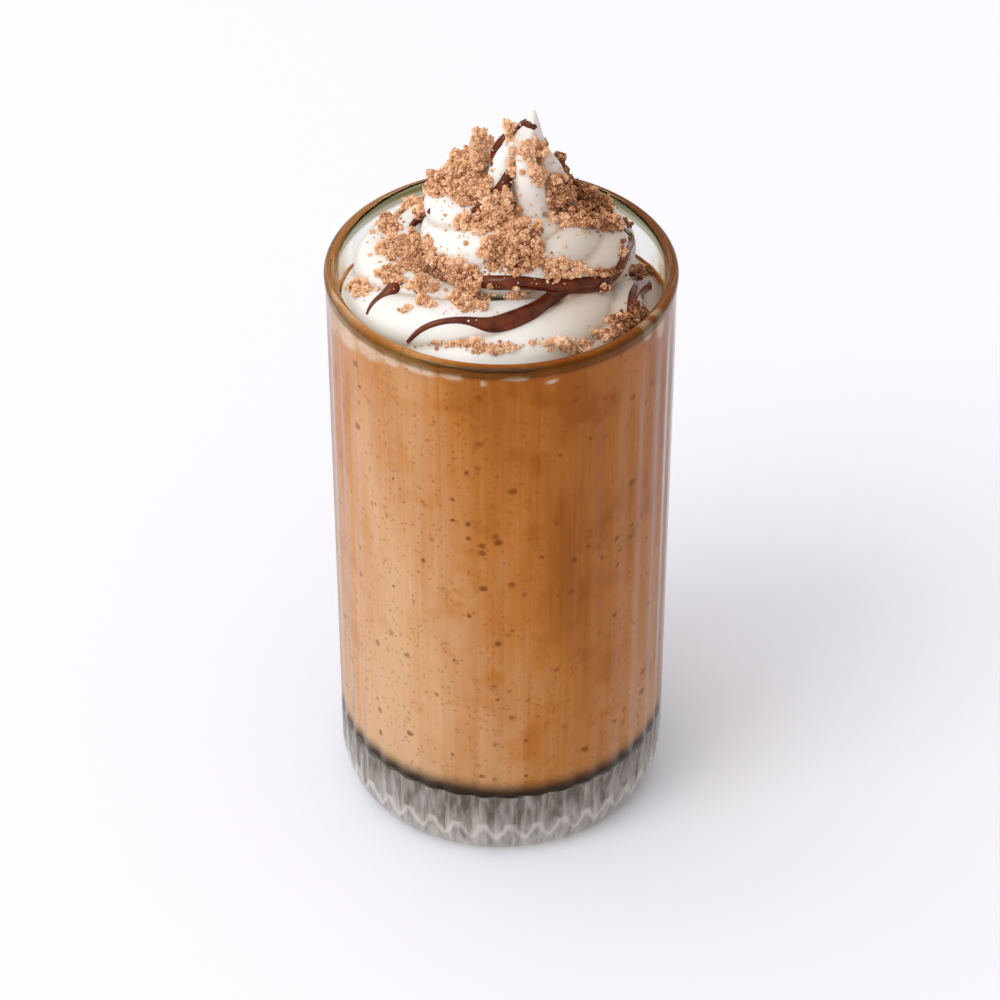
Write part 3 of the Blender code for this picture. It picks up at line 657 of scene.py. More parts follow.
def clinging_foam(tree, coordinates):
    """How much foam is seen under the lip, torn by bubbles some 2 mm across."""
    foam = add_node(tree, "ShaderNodeAttribute", {"attribute_name": "foam"})
    torn = add_node(tree, "ShaderNodeTexNoise", {"Scale": 420.0, "Detail": 2.0},
                    {"Vector": coordinates})
    patchy = add_node(tree, "ShaderNodeMath", {"operation": "MULTIPLY_ADD", 1: 1.4, 2: -0.7},
                      {0: torn})
    bubbly = add_node(tree, "ShaderNodeMath", {"operation": "ADD"},
                      {0: foam.outputs["Fac"], 1: patchy})
    clinging = add_node(tree, "ShaderNodeMapRange", {
        "From Min": 0.1, "From Max": 1.0, "To Min": 0.0, "To Max": 0.6}, {"Value": bubbly})
    toward_edge = add_node(tree, "ShaderNodeMath", {"operation": "POWER", 1: 0.5},
                           {0: foam.outputs["Fac"]})
    return add_node(tree, "ShaderNodeMath", {"operation": "MULTIPLY"},
                    {0: clinging, 1: toward_edge})


def blended_coffee():
    """Milk, ice and espresso blended smooth: a cloudy caramel liquid with dark coffee specks."""
    material, tree, output = new_material("blended milk coffee")
    coordinates = add_node(tree, "ShaderNodeTexCoord").outputs["Object"]
    place = add_node(tree, "ShaderNodeSeparateXYZ", {}, {"Vector": coordinates})
    # Cloudy streaks some 15 mm wide, drawn out up the glass
    drawn = add_node(tree, "ShaderNodeMapping", {"Scale": (70.0, 70.0, 16.0)},
                     {"Vector": coordinates})
    cloud = add_node(tree, "ShaderNodeTexNoise", {
        "Scale": 1.0, "Detail": 4.0, "Roughness": 0.55, "Distortion": 0.4}, {"Vector": drawn})
    liquid = milk_coffee_and_painted_light(tree, coordinates, place, cloud)
    foamy = add_node(tree, "ShaderNodeMix", {"data_type": "RGBA", 7: linear("#F7E6DA")},
                     {0: clinging_foam(tree, coordinates), 6: liquid})
    speckled = add_node(tree, "ShaderNodeMix", {"data_type": "RGBA", 7: linear("#86440F")},
                        {0: specks_and_grounds(tree, coordinates), 6: foamy})
    # Painted shade: the lowest few millimetres are darkened, where the drink's rounded bottom is in
    # shade
    bottom = add_node(tree, "ShaderNodeMath", {"operation": "MULTIPLY_ADD", 1: 3 * MM},
                      {0: cloud, 2: place.outputs["Z"]})
    painted_shade_at_bottom = add_node(tree, "ShaderNodeMapRange", {
        "From Min": BASE_THICKNESS + 4.5 * MM, "From Max": BASE_THICKNESS + 11.0 * MM,
        "To Min": 0.95, "To Max": 0.0, "interpolation_type": "SMOOTHSTEP"}, {"Value": bottom})
    colour = add_node(tree, "ShaderNodeMix", {"data_type": "RGBA", 7: linear("#33231B")},
                      {0: painted_shade_at_bottom, 6: speckled})
    shader = add_node(tree, "ShaderNodeBsdfPrincipled", {
        "Roughness": 0.5, "IOR": 1.35, "Specular IOR Level": 0.15}, {"Base Color": colour})
    tree.links.new(shader.outputs["BSDF"], output.inputs["Surface"])
    return material


# ---------------------------------------------------------------- cream

# The rope: where it starts, the turn between two stations, how deep the star is, and its roll
ROPE_START = math.radians(50)
ROPE_TURN = math.radians(-80)
ROPE_STAR = 0.17
ROPE_ROLL = math.radians(38)
ROPE_TWIST_PER_LAP = math.radians(-450)
# Its stations: (radius of the lap, height over the rim, radius of the rope) in mm
ROPE_STATIONS = [
    (17.5, -13.0, 7.0),
    (24.3, -9.3, 11.7),
    (25.0, -6.2, 12.5),
    (23.8, -6.4, 11.8),
    (20.0, -5.0, 10.5),
    (16.3, 1.0, 10.5),
    (12.8, 6.5, 10.5),
    (12.4, 8.3, 10.4),
    (10.8, 12.1, 9.4),
    (3.0, 12.0, 6.0),
]
# The laps' centre moves off the axis to here, between these turns
UPPER_CENTRE = (4.0 * MM, 3.5 * MM)
SHIFT_START = math.radians(-250)
SHIFT_END = math.radians(-345)
PEAK_CENTRE = (6.5 * MM, 4.0 * MM)
PEAK_STAR = 0.46
PEAK_ROLL = math.radians(27)
PEAK_TWIST_PER_MM = math.radians(0.6)
# The peak's stations: (height over the rim, lean toward +X, radius) in mm
PEAK_STATIONS = [
    (2.0, -0.5, 13.0),
    (8.0, -0.8, 12.4),
    (14.0, -1.0, 11.3),
    (19.0, -1.3, 9.8),
    (24.0, -1.6, 8.6),
    (28.5, -1.9, 6.1),
    (32.0, -0.8, 3.7),
    (35.0, 0.2, 2.0),
    (38.2, 0.6, 0.7),
]
# Cream under the rope: (radius, height over the drink's surface) in mm
BED_PROFILE = [(0.0, 12.0), (24.0, 10.0), (34.0, 4.0), (38.0, 1.5), (38.5, -1.5), (0.0, -1.5)]
BED_STEPS = 96
NOZZLE_POINTS = 5
LOBE_ROUNDNESS = 0.75
STEPS_PER_POINT = 16
ROPE_STEPS = 240
PEAK_STEPS = 60
CREAM_VOXEL = 0.5 * MM
CREAM_SOFTENING = 2
CREAM_OFF_WALL = 0.3 * MM
CREASE_EASING = 40
CREASE_DEPTH = 0.6 * MM


def blend(stations, share):
    """A smooth value between evenly spaced stations."""
    last = len(stations) - 1
    place = min(share * last, last - 1e-9)
    i = int(place)
    t = place - i
    p0, p1 = np.array(stations[max(i - 1, 0)]), np.array(stations[i])
    p2, p3 = np.array(stations[i + 1]), np.array(stations[min(i + 2, last)])
    return 0.5 * (2 * p1 + (p2 - p0) * t + (2 * p0 - 5 * p1 + 4 * p2 - p3) * t ** 2
                  + (3 * p1 - p0 - 3 * p2 + p3) * t ** 3)


def star_reach(angle, depth):
    """How far the star's outline is out at an angle: round lobes with narrow valleys."""
    lobe = np.abs(np.cos(NOZZLE_POINTS * angle / 2)) ** LOBE_ROUNDNESS
    return 1 - depth + depth * lobe


def star_curve(depth):
    """Outline of the nozzle's opening, of radius 1 mm, as a curve."""
    deselect()
    steps = NOZZLE_POINTS * STEPS_PER_POINT
    bpy.ops.mesh.primitive_circle_add(vertices=steps, radius=MM)
    outline = bpy.context.object
    places = vertices(outline)
    places *= star_reach(np.arctan2(places[:, 1], places[:, 0]), depth)[:, None]
    move_vertices(outline, places)
    bpy.ops.object.convert(target="CURVE")
    return bpy.context.object


def piped(name, path, depth):
    """A star-nozzle rope along (centre, radius in mm, tilt) points, as a closed mesh."""
    nozzle = star_curve(depth)
    curve = new_curve(name)
    curve.twist_mode = "Z_UP"
    curve.bevel_mode = "OBJECT"
    curve.bevel_object = nozzle
    add_line(curve, path)
    rope = curve_as_mesh(curve)
    bpy.data.objects.remove(nozzle)
    return rope


def rope_path():
    path = []
    for i in range(ROPE_STEPS + 1):
        share = i / ROPE_STEPS
        lap_radius, height, thickness = blend(ROPE_STATIONS, share)
        turn = ROPE_START + ROPE_TURN * share * (len(ROPE_STATIONS) - 1)
        shift = min(max((turn - SHIFT_START) / (SHIFT_END - SHIFT_START), 0.0), 1.0)
        centre = (shift * UPPER_CENTRE[0] + MM * lap_radius * math.cos(turn),
                  shift * UPPER_CENTRE[1] + MM * lap_radius * math.sin(turn),
                  HEIGHT + MM * height)
        path.append((centre, thickness, -(ROPE_ROLL + ROPE_TWIST_PER_LAP * turn / math.tau)))
    return path


def make_peak_form():
    """The peak: a star outline extruded upward, each ring then set to its lean and radius."""
    deselect()
    steps = NOZZLE_POINTS * STEPS_PER_POINT
    bpy.ops.mesh.primitive_circle_add(vertices=steps, radius=1.0, fill_type="NGON")
    peak = bpy.context.object
    bpy.ops.object.mode_set(mode="EDIT")
    for _ in range(PEAK_STEPS):
        bpy.ops.mesh.extrude_region_move(TRANSFORM_OT_translate={"value": (0.0, 0.0, MM)})
    bpy.ops.object.mode_set(mode="OBJECT")
    places = vertices(peak)
    angle = np.arctan2(places[:, 1], places[:, 0])
    ring = np.round(places[:, 2] / MM).astype(int)
    stations = np.array([blend(PEAK_STATIONS, i / PEAK_STEPS) for i in range(PEAK_STEPS + 1)])
    height, lean, radius = stations[ring].T
    reach = radius * star_reach(angle, PEAK_STAR)
    angle = math.pi - angle - PEAK_ROLL - PEAK_TWIST_PER_MM * height
    places[:, 0] = PEAK_CENTRE[0] + MM * (lean + reach * np.cos(angle))
    places[:, 1] = PEAK_CENTRE[1] + MM * reach * np.sin(angle)
    places[:, 2] = HEIGHT + MM * height
    move_vertices(peak, places)
    activate(peak)
    bpy.ops.object.mode_set(mode="EDIT")
    bpy.ops.mesh.select_all(action="SELECT")
    bpy.ops.mesh.normals_make_consistent(inside=False)
    bpy.ops.object.mode_set(mode="OBJECT")
    return peak


def make_bed_form():
    """Cream under the rope, from just under the drink's surface up."""
    profile = [(MM * radius, LEVEL_BACK + MM * height) for radius, height in BED_PROFILE]
    bed = spun("bed", profile, BED_STEPS)
    places = vertices(bed)
    places[:, 2] += level(places[:, 0], places[:, 1]) - LEVEL_BACK
    move_vertices(bed, places)
    return bed


def make_cream():
    forms = [piped("rope", rope_path(), ROPE_STAR), make_peak_form(), make_bed_form()]
    deselect()
    for form in forms:
        form.select_set(True)
    bpy.context.view_layer.objects.active = forms[0]
    bpy.ops.object.join()
    cream = bpy.context.object
    cream.name = "piped_cream"
    one_skin(cream, CREAM_VOXEL)
    soften(cream, CREAM_SOFTENING)
    press_to_glass(cream)
    note_creases(cream)
    smooth(cream)
    cream.data.materials.clear()
    cream.data.materials.append(whipped_cream())
    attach(cream, "root")
    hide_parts("whipped_cream")
    return cream


def note_creases(cream):
    """Note how deep each point of the cream lies in a crease, from 0 to 1.

    A crease lies under the same surface eased flat, where each point moves to its
    neighbours' middle again and again.
    """
    places = vertices(cream)
    edges = np.empty(len(cream.data.edges) * 2, dtype=int)
    cream.data.edges.foreach_get("vertices", edges)
    ends = edges.reshape(-1, 2)
    neighbours = np.bincount(ends.ravel(), minlength=len(places))[:, None]
    eased = places.copy()
    for _ in range(CREASE_EASING):
        total = np.zeros_like(eased)
        for axis in range(3):
            total[:, axis] = (np.bincount(ends[:, 0], eased[ends[:, 1], axis], len(places))
                              + np.bincount(ends[:, 1], eased[ends[:, 0], axis], len(places)))
        eased = total / neighbours
    depth = ((eased - places) * outward_normals(cream)).sum(axis=1)
    note(cream, "crease", np.clip(depth / CREASE_DEPTH, 0.0, 1.0))


def press_to_glass(cream):
    """Flatten the cream where it leans on the inner wall."""
    places = vertices(cream)
    radius = np.hypot(places[:, 0], places[:, 1])
    wall = inner_radius(np.minimum(places[:, 2], HEIGHT - LIP_THICKNESS / 2)) - CREAM_OFF_WALL
    places[:, :2] *= np.minimum(1.0, wall / radius)[:, None]
    move_vertices(cream, places)


def whipped_cream():
    """Whipped dairy cream: dense white foam that light sinks into, with a fatty sheen."""
    material, tree, output = new_material("whipped dairy cream")
    coordinates = add_node(tree, "ShaderNodeTexCoord").outputs["Object"]
    # Foam grain about 0.8 mm across
    foam = add_node(tree, "ShaderNodeTexNoise", {"Scale": 900.0, "Detail": 3.0},
                    {"Vector": coordinates})
    bump = add_node(tree, "ShaderNodeBump", {"Strength": 0.12, "Distance": 0.2 * MM},
                    {"Height": foam})
    # Fine biscuit powder lies round the heaps, thinner further off
    near = add_node(tree, "ShaderNodeAttribute", {"attribute_name": "near_crumbs"})
    powder = add_node(tree, "ShaderNodeTexNoise", {
        "Scale": 1500.0, "Detail": 2.0, "Roughness": 0.7}, {"Vector": coordinates})
    thin = add_node(tree, "ShaderNodeMath", {"operation": "MULTIPLY_ADD", 1: 1.6, 2: -1.05},
                    {0: powder})
    lying = add_node(tree, "ShaderNodeMath", {"operation": "ADD"},
                     {0: near.outputs["Fac"], 1: thin})
    dusted = add_node(tree, "ShaderNodeMapRange", {
        "From Min": 0.3, "From Max": 1.0, "To Min": 0.0, "To Max": 0.45}, {"Value": lying})
    # Painted shade: the cream is darker and warmer in the creases between the lobes
    crease = add_node(tree, "ShaderNodeAttribute", {"attribute_name": "crease"})
    shaded = add_node(tree, "ShaderNodeMix", {
        "data_type": "RGBA", 6: linear("#E6E3DF"), 7: linear("#B9A590")},
        {0: crease.outputs["Fac"]})
    # Painted shade toward the right, away from the light, broken into streaks about 8 mm wide
    place = add_node(tree, "ShaderNodeSeparateXYZ", {}, {"Vector": coordinates})
    streaks = add_node(tree, "ShaderNodeTexNoise", {"Scale": 120.0, "Detail": 2.0},
                       {"Vector": coordinates})
    streaked = add_node(tree, "ShaderNodeMath", {"operation": "MULTIPLY_ADD", 1: 14 * MM},
                        {0: streaks, 2: place.outputs["X"]})
    painted_shade_right = add_node(tree, "ShaderNodeMapRange", {
        "From Min": 9 * MM, "From Max": 27 * MM, "To Min": 0.0, "To Max": 0.62,
        "interpolation_type": "SMOOTHSTEP"}, {"Value": streaked})
    shaded_to_the_right = add_node(tree, "ShaderNodeMix", {"data_type": "RGBA", 7: linear("#BBA48C")},
                       {0: painted_shade_right, 6: shaded})
    colour = add_node(tree, "ShaderNodeMix", {"data_type": "RGBA", 7: linear("#C58E62")},
                      {0: dusted, 6: shaded_to_the_right})
    shader = add_node(tree, "ShaderNodeBsdfPrincipled", {
        "Roughness": 0.36, "IOR": 1.45, "Subsurface Weight": 0.2,
        "Subsurface Radius": (1.0, 0.75, 0.55), "Subsurface Scale": 2.5 * MM},
        {"Base Color": colour, "Normal": bump})
    tree.links.new(shader.outputs["BSDF"], output.inputs["Surface"])
    return material


# ---------------------------------------------------------------- toppings

# Toppings are thrown on from in front of the glass or from behind it: from so far out, and
# from so high. Their places are in millimetres, seen along the throw: across is along X, and
# up is square to the throw. Both count from the middle of the rim
THROWN_FROM = (0.742, 0.659)
THROW_ANGLE = math.atan2(THROWN_FROM[1] - HEIGHT, THROWN_FROM[0])
TOPPING_CLEARANCE = 0.8 * MM

# Chocolate: the step along a line, and the share of its radius that it lies in the cream
DRIZZLE_STEP = 0.7 * MM
DRIZZLE_SUNK = 0.4
DRIZZLE_EASING = 6
DRIZZLE_VOXEL = 0.22 * MM
DRIZZLE_SOFTENING = 5
# Each line of it: (across, up, radius of the line)
FRONT_DRIZZLE = {
    "lower_line": [
        (-21.1, -17.6, 0.59), (-18.9, -15.2, 0.73), (-15.5, -13.4, 0.82), (-11.0, -12.5, 0.87),
        (-6.9, -12.7, 1.17), (-2.4, -13.6, 1.9), (2.0, -12.7, 2.34), (6.5, -10.7, 2.2),
        (10.4, -8.2, 1.76), (15.1, -5.5, 1.46)],
    "collar_line": [
        (-7.8, -3.5, 1.0), (-2.4, -4.2, 1.85), (4.3, -4.2, 1.95), (12.6, -4.6, 2.05),
        (18.2, -4.8, 2.2), (22.9, -4.2, 2.35), (26.1, -1.2, 2.3), (28.3, 3.3, 1.9),
        (29.0, 6.2, 1.5), (27.4, 8.0, 0.73)],
    "right_pool": [
        (28.6, -11.8, 0.7), (29.2, -9.1, 1.1), (29.8, -6.2, 1.6), (31.0, -4.2, 2.3),
        (33.0, -4.6, 2.1)],
    "left_line": [
        (-30.3, -11.3, 0.5), (-29.4, -9.3, 0.75), (-27.4, -7.3, 1.1), (-24.5, -5.7, 1.9),
        (-22.2, -2.8, 1.0)],
    "shoulder_line": [
        (-20.2, 8.4, 0.87), (-19.1, 10.0, 1.03), (-17.7, 11.1, 1.03), (-15.9, 12.0, 0.87)],
    "peak_foot": [
        (-6.9, 12.0, 0.9), (-4.0, 12.7, 1.8), (-1.8, 14.0, 2.3), (0.5, 16.7, 1.95),
        (1.4, 19.7, 1.4), (3.0, 22.4, 0.8)],
    "peak_left": [
        (-1.9, 22.0, 0.8), (-1.8, 24.0, 1.3), (-1.1, 26.3, 1.5), (0.3, 28.2, 1.3),
        (1.9, 29.8, 0.9)],
    "peak_arch": [
        (2.7, 29.1, 0.87), (3.8, 31.1, 1.17), (5.2, 32.0, 1.31), (6.5, 31.8, 1.17),
        (7.7, 30.2, 0.87)],
    "peak_right": [
        (8.8, 33.1, 0.59), (9.0, 31.3, 0.73), (9.7, 29.1, 0.59)],
    "behind_peak": [
        (13.1, 25.1, 1.03), (14.6, 23.7, 1.76), (15.3, 21.5, 1.76), (16.2, 19.2, 1.17)],
}
BACK_DRIZZLE = {
    "back_collar": [
        (27.0, 8.0, 0.7), (22.0, 4.0, 1.2), (15.0, 1.0, 1.5), (7.0, 0.0, 1.4),
        (-1.0, 1.5, 1.5), (-8.0, 4.0, 1.2), (-14.0, 8.0, 0.8)],
    "back_lower_line": [
        (-20.0, -4.0, 0.7), (-12.0, -7.5, 1.3), (-4.0, -7.0, 1.6), (4.0, -9.0, 1.3),
        (12.0, -7.5, 1.2), (19.0, -3.0, 0.7)],
    "back_peak_line": [(2.0, 24.0, 0.6), (5.0, 21.0, 1.0), (9.0, 18.5, 1.0), (13.0, 13.0, 0.7)],
}

# Each heap of crumbs: (across, up, half its width, half its height)
CRUMB_SEED = 11
FRONT_CRUMBS = [
    (1.9, 31.4, 1.4, 2.2), (-4.6, 27.9, 2.3, 3.6), (-14.6, 18.5, 3.6, 3.8), (-7.4, 17.9, 4.9, 4.9),
    (-6.0, 9.1, 4.7, 2.0), (0.4, 12.0, 4.2, 4.6), (4.2, 7.6, 5.2, 2.4), (2.4, 23.4, 0.9, 3.4),
    (2.5, 2.6, 7.4, 4.9), (13.7, -0.8, 4.7, 2.2), (7.2, 25.3, 2.9, 2.9), (8.1, 20.1, 1.3, 2.7),
    (12.0, 15.4, 1.7, 4.6), (15.4, 15.2, 3.9, 5.2), (20.5, 12.9, 4.5, 4.0), (15.5, 10.6, 4.6, 2.0),
    (21.5, 9.4, 4.4, 1.7), (26.1, 8.9, 2.9, 1.3), (-25.4, 8.4, 2.2, 4.0), (-22.2, 3.3, 4.9, 3.1),
    (-18.2, 1.7, 4.0, 4.5), (-24.9, -2.1, 2.9, 2.0), (-12.3, -0.6, 3.6, 3.1), (-7.8, -3.0, 3.6, 2.7),
    (-6.9, -8.0, 4.5, 2.7), (-17.1, -4.6, 3.1, 2.0), (-32.1, -5.1, 2.7, 1.8), (-16.6, -8.9, 1.8, 1.0),
    (-22.2, -9.8, 1.1, 0.7), (3.8, -6.9, 2.5, 1.0), (-10.3, -17.9, 6.3, 0.8), (-0.2, -18.6, 4.9, 0.7),
    (-3.6, -19.5, 4.4, 0.6), (15.5, -19.2, 5.5, 0.6), (13.7, -17.6, 7.6, 0.7), (23.4, -15.4, 3.6, 1.1),
    (27.2, -13.1, 3.6, 2.0), (30.8, -10.4, 2.2, 1.8), (31.9, -1.4, 4.0, 1.6), (22.3, -1.7, 4.0, 0.9),
    (23.4, -5.1, 1.1, 0.7), (27.2, 3.0, 0.9, 1.3),
]
BACK_CRUMBS = [
    (-6.0, 10.0, 6.0, 5.0), (10.0, 7.0, 6.0, 4.0), (18.0, -1.0, 5.0, 3.0), (-16.0, 2.0, 5.0, 3.5),
    (0.0, -5.0, 6.0, 3.0), (-20.0, -9.0, 5.0, 2.0), (14.0, -12.0, 6.0, 1.6), (6.0, 18.0, 2.5, 4.0),
]


def surface_of(*objects):
    """A tree to cast rays on, of all these objects' faces."""
    places, faces = [], []
    for obj in objects:
        start = len(places)
        places += [vertex.co for vertex in obj.data.vertices]
        faces += [[start + i for i in face.vertices] for face in obj.data.polygons]
    return BVHTree.FromPolygons(places, faces)


def throw(surface, across, up, from_back):
    """Where something thrown toward (across, up) lands, with the way out of the surface."""
    side = -1.0 if from_back else 1.0
    upwards = Vector((0.0, side * math.sin(THROW_ANGLE), math.cos(THROW_ANGLE)))
    start = Vector((0.0, -side * THROWN_FROM[0], THROWN_FROM[1]))
    target = Vector((across, 0.0, HEIGHT)) + up * upwards
    place, outwards, _, _ = surface.ray_cast(start, (target - start).normalized())
    return place, outwards


def clear_of_glass(place, size):
    return math.hypot(place.x, place.y) + size < INNER_TOP_RADIUS - TOPPING_CLEARANCE


def drizzle_path(surface, line, from_back):
    """Points of (place, radius) along a line as it lies on the cream."""
    length = sum(MM * math.dist(first[:2], second[:2]) for first, second in zip(line, line[1:]))
    steps = max(4, round(length / DRIZZLE_STEP))
    path = []
    for i in range(steps + 1):
        across, up, radius = (MM * blend(line, i / steps)).tolist()
        place, outwards = throw(surface, across, up, from_back)
        if place is not None and clear_of_glass(place, radius):
            path.append((place - DRIZZLE_SUNK * radius * outwards, radius))
    for _ in range(DRIZZLE_EASING):
        eased = path[:]
        for i in range(1, len(path) - 1):
            middle = 0.5 * path[i][0] + 0.25 * (path[i - 1][0] + path[i + 1][0])
            eased[i] = (middle, path[i][1])
        path = eased
    return path


def make_drizzle(cream):
    surface = surface_of(cream)
    lines = [(line, False) for line in FRONT_DRIZZLE.values()]
    lines += [(line, True) for line in BACK_DRIZZLE.values()]
    curve = new_curve("chocolate_drizzle")
    curve.bevel_depth = MM
    curve.bevel_resolution = 6
    for line, from_back in lines:
        path = drizzle_path(surface, line, from_back)
        add_line(curve, [(place, radius / MM, 0.0) for place, radius in path])
    drizzle = curve_as_mesh(curve)
    one_skin(drizzle, DRIZZLE_VOXEL)
    soften(drizzle, DRIZZLE_SOFTENING)
    smooth(drizzle)
    drizzle.data.materials.clear()
    drizzle.data.materials.append(chocolate_sauce())
    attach(drizzle, "root")
    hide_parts("whipped_cream")
    return drizzle


def chocolate_sauce():
    """Thick cocoa sauce: nearly black brown, with the wet gloss of syrup."""
    material, tree, output = new_material("chocolate sauce")
    coordinates = add_node(tree, "ShaderNodeTexCoord").outputs["Object"]
    # Thin and thick places some 3 mm long
    depth = add_node(tree, "ShaderNodeTexNoise", {"Scale": 300.0, "Detail": 2.0},
                     {"Vector": coordinates})
    cocoa = add_node(tree, "ShaderNodeValToRGB", {
        "stops": [(0.35, linear("#44170A")), (0.7, linear("#702F17"))]}, {"Fac": depth})
    shader = add_node(tree, "ShaderNodeBsdfPrincipled", {
        "Roughness": 0.2, "IOR": 1.45, "Specular IOR Level": 0.4,
        "Specular Tint": linear("#F0D0B8"), "Coat Weight": 0.15, "Coat Roughness": 0.05},
        {"Base Color": cocoa})
    tree.links.new(shader.outputs["BSDF"], output.inputs["Surface"])
    return material


# Crumbs stacked up, where a throw would miss: (x, y, height over the rim, half the size) in mm
STACKED_CRUMBS = [
    (-5.0, 8.0, 21.3, 2.7), (-5.1, 8.0, 24.6, 2.4), (-4.9, 8.0, 27.3, 2.1), (-4.6, 8.0, 29.6, 1.6),
    (2.4, 3.2, 30.8, 1.8), (1.7, 3.5, 33.2, 1.6), (1.2, 3.5, 35.0, 1.1),
    (13.2, 8.5, 16.5, 2.9), (13.0, 8.5, 19.3, 2.8), (12.9, 8.5, 22.0, 2.5),
]
SMALLER_TO_A_STACKED = 7

# Fine powder lies round the heaps, out to this far
POWDER_REACH = 1.5 * MM

# The middle of the painted shade on the heap in front, which lies over the thickest of the sauce
SHADE_IN_FRONT_MIDDLE = (3.0 * MM, -15.0 * MM, 158.0 * MM)

# Packed crumb under the loose ones: half sizes of its lumps, area of heap to each lump, how
# deep they sit, and its relief as (size of a bump, height of a bump)
HEAP_LUMPS = (0.8 * MM, 1.7 * MM)
HEAP_AREA_PER_LUMP = 2.6
HEAP_SUNK = 0.55
HEAP_VOXEL = 0.27 * MM
HEAP_RELIEF = [(1.5 * MM, 0.55 * MM), (0.7 * MM, 0.32 * MM)]
# Its tone, and how far painted shade and light follow its relief
HEAP_TONE = 0.42
HEAP_RELIEF_SHADE = 0.9

# Kinds of loose crumb: name, half its size from and to, subdivisions of the lump, roughness,
# crumbs for each square millimetre of heap, share of strays and how deep it sits
CRUMB_KINDS = [
    ("biscuit_lumps", (0.8 * MM, 1.5 * MM), 3, 0.55, 0.10, 0.03, 0.35),
    ("biscuit_crumbs", (0.35 * MM, 0.75 * MM), 2, 0.5, 1.3, 0.08, 0.25),
    ("biscuit_dust", (0.14 * MM, 0.32 * MM), 1, 0.4, 5.0, 0.16, 0.2),
]
SHAPES_PER_KIND = 6
SMALL_ONES_MORE = 1.5
STRAY_REACH = 1.8
CRUMB_STRETCH = (0.75, 1.2)
CRUMB_TONES = (0.25, 0.85)
# How far painted shade and light follow each crumb's bumps
CRUMB_RELIEF_SHADE = 0.3


def rough(place, seed):
    """A number from about -1 to 1 that varies smoothly over a lump of radius 1."""
    return noise.noise(1.6 * place + seed) + 0.6 * noise.noise(3.7 * place - seed)


def ball(subdivisions):
    """Vertices and triangles of a ball of radius 1."""
    deselect()
    bpy.ops.mesh.primitive_ico_sphere_add(subdivisions=subdivisions, radius=1.0)
    sphere = bpy.context.object
    places = vertices(sphere)
    faces = np.array([face.vertices[:] for face in sphere.data.polygons])
    bpy.data.objects.remove(sphere)
    return places, faces


def crumb_shape(subdivisions, roughness, draw):
    """One rough lump of radius 1: its vertices, its triangles and how far each vertex is out."""
    places, faces = ball(subdivisions)
    seed = Vector([draw.uniform(-90, 90) for _ in range(3)])
    out = np.array([rough(Vector(place), seed) for place in places])
    return places * (1 + roughness * out)[:, None], faces, out


def mesh_of_copies(name, copies):
    """One mesh of many loose shapes, each given as its vertices and triangles."""
    starts = np.cumsum([0] + [len(places) for places, _ in copies])
    all_places = np.concatenate([places for places, _ in copies])
    all_faces = np.concatenate([faces + start for (_, faces), start in zip(copies, starts)])
    return mesh_object(name, all_places, all_faces)


def heaps_of_crumbs():
    return [(heap, False) for heap in FRONT_CRUMBS] + [(heap, True) for heap in BACK_CRUMBS]


def any_way(draw):
    return Vector([draw.uniform(-1, 1) for _ in range(3)]).normalized()


def land(surface, heap, from_back, angle, spread, size, sunk):
    """Centre of a crumb thrown at a heap, after it has sunk in, or None if it misses.

    It is thrown at an angle round the heap's middle, with a spread of 1 at the heap's edge.
    """
    across, up, half_width, half_height = heap
    place, outwards = throw(surface, MM * (across + half_width * spread * math.cos(angle)),
                            MM * (up + half_height * spread * math.sin(angle)), from_back)
    if place is None or not clear_of_glass(place, size):
        return None
    return place + (1 - 2 * sunk) * size * outwards


def finish_crumbs(crumbs, tones_and_relief_shade):
    """Give a piece of biscuit its tone and painted shade at each vertex, and its place in the object.
    """
    note(crumbs, "tone", tones_and_relief_shade)
    crumbs.data.materials.clear()
    crumbs.data.materials.append(bpy.data.materials["baked biscuit crumb"])
    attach(crumbs, "root")
    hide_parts("whipped_cream")


def thrown_lumps(surface, draw):
    """Lumps of the heaps on the cream, as (centre, size). The ones at an edge are smaller."""
    lumps = []
    for heap, from_back in heaps_of_crumbs():
        half_width, half_height = heap[2:]
        for _ in range(math.ceil(math.pi * half_width * half_height / HEAP_AREA_PER_LUMP)):
            angle = draw.uniform(0.0, math.tau)
            spread = math.sqrt(draw.random())
            largest = 0.8 * min(half_width, half_height) * MM
            size = min(draw.uniform(*HEAP_LUMPS), largest) * (1.15 - 0.45 * spread)
            centre = land(surface, heap, from_back, angle, spread, size, HEAP_SUNK)
            if centre is not None:
                lumps.append((centre, size))
    return lumps


def stacked_lumps(draw):
    """Lumps of the stacks, as (centre, size). Each is a core with smaller ones round it."""
    lumps = []
    for x, y, height, size in STACKED_CRUMBS:
        middle = Vector((MM * x, MM * y, HEIGHT + MM * height))
        for _ in range(SMALLER_TO_A_STACKED):
            way = any_way(draw)
            smaller = draw.uniform(0.4, 0.62) * MM * size
            lumps.append((middle + (0.95 * MM * size - smaller) * way, smaller))
        lumps.append((middle, 0.6 * MM * size))
    return lumps


def make_heaps(cream, drizzle, draw):
    """Lumps made one skin, with a relief of crumbs pressed together."""
    lumps = thrown_lumps(surface_of(cream, drizzle), draw) + stacked_lumps(draw)
    places, faces = ball(2)
    heaps = mesh_of_copies("biscuit_heaps", [
        (places * size + np.array(centre), faces) for centre, size in lumps])
    one_skin(heaps, HEAP_VOXEL)
    places = vertices(heaps)
    relief = np.zeros(len(places))
    for size, height in HEAP_RELIEF:
        relief += height * np.array([noise.noise(Vector(place) / size) for place in places])
    move_vertices(heaps, places + relief[:, None] * outward_normals(heaps))
    # Painted shade and light: darker where the relief sinks in, lighter where it stands out
    tallest = sum(height for _, height in HEAP_RELIEF)
    finish_crumbs(heaps, np.clip(HEAP_TONE + HEAP_RELIEF_SHADE * relief / tallest, 0.0, 1.0))
    return heaps


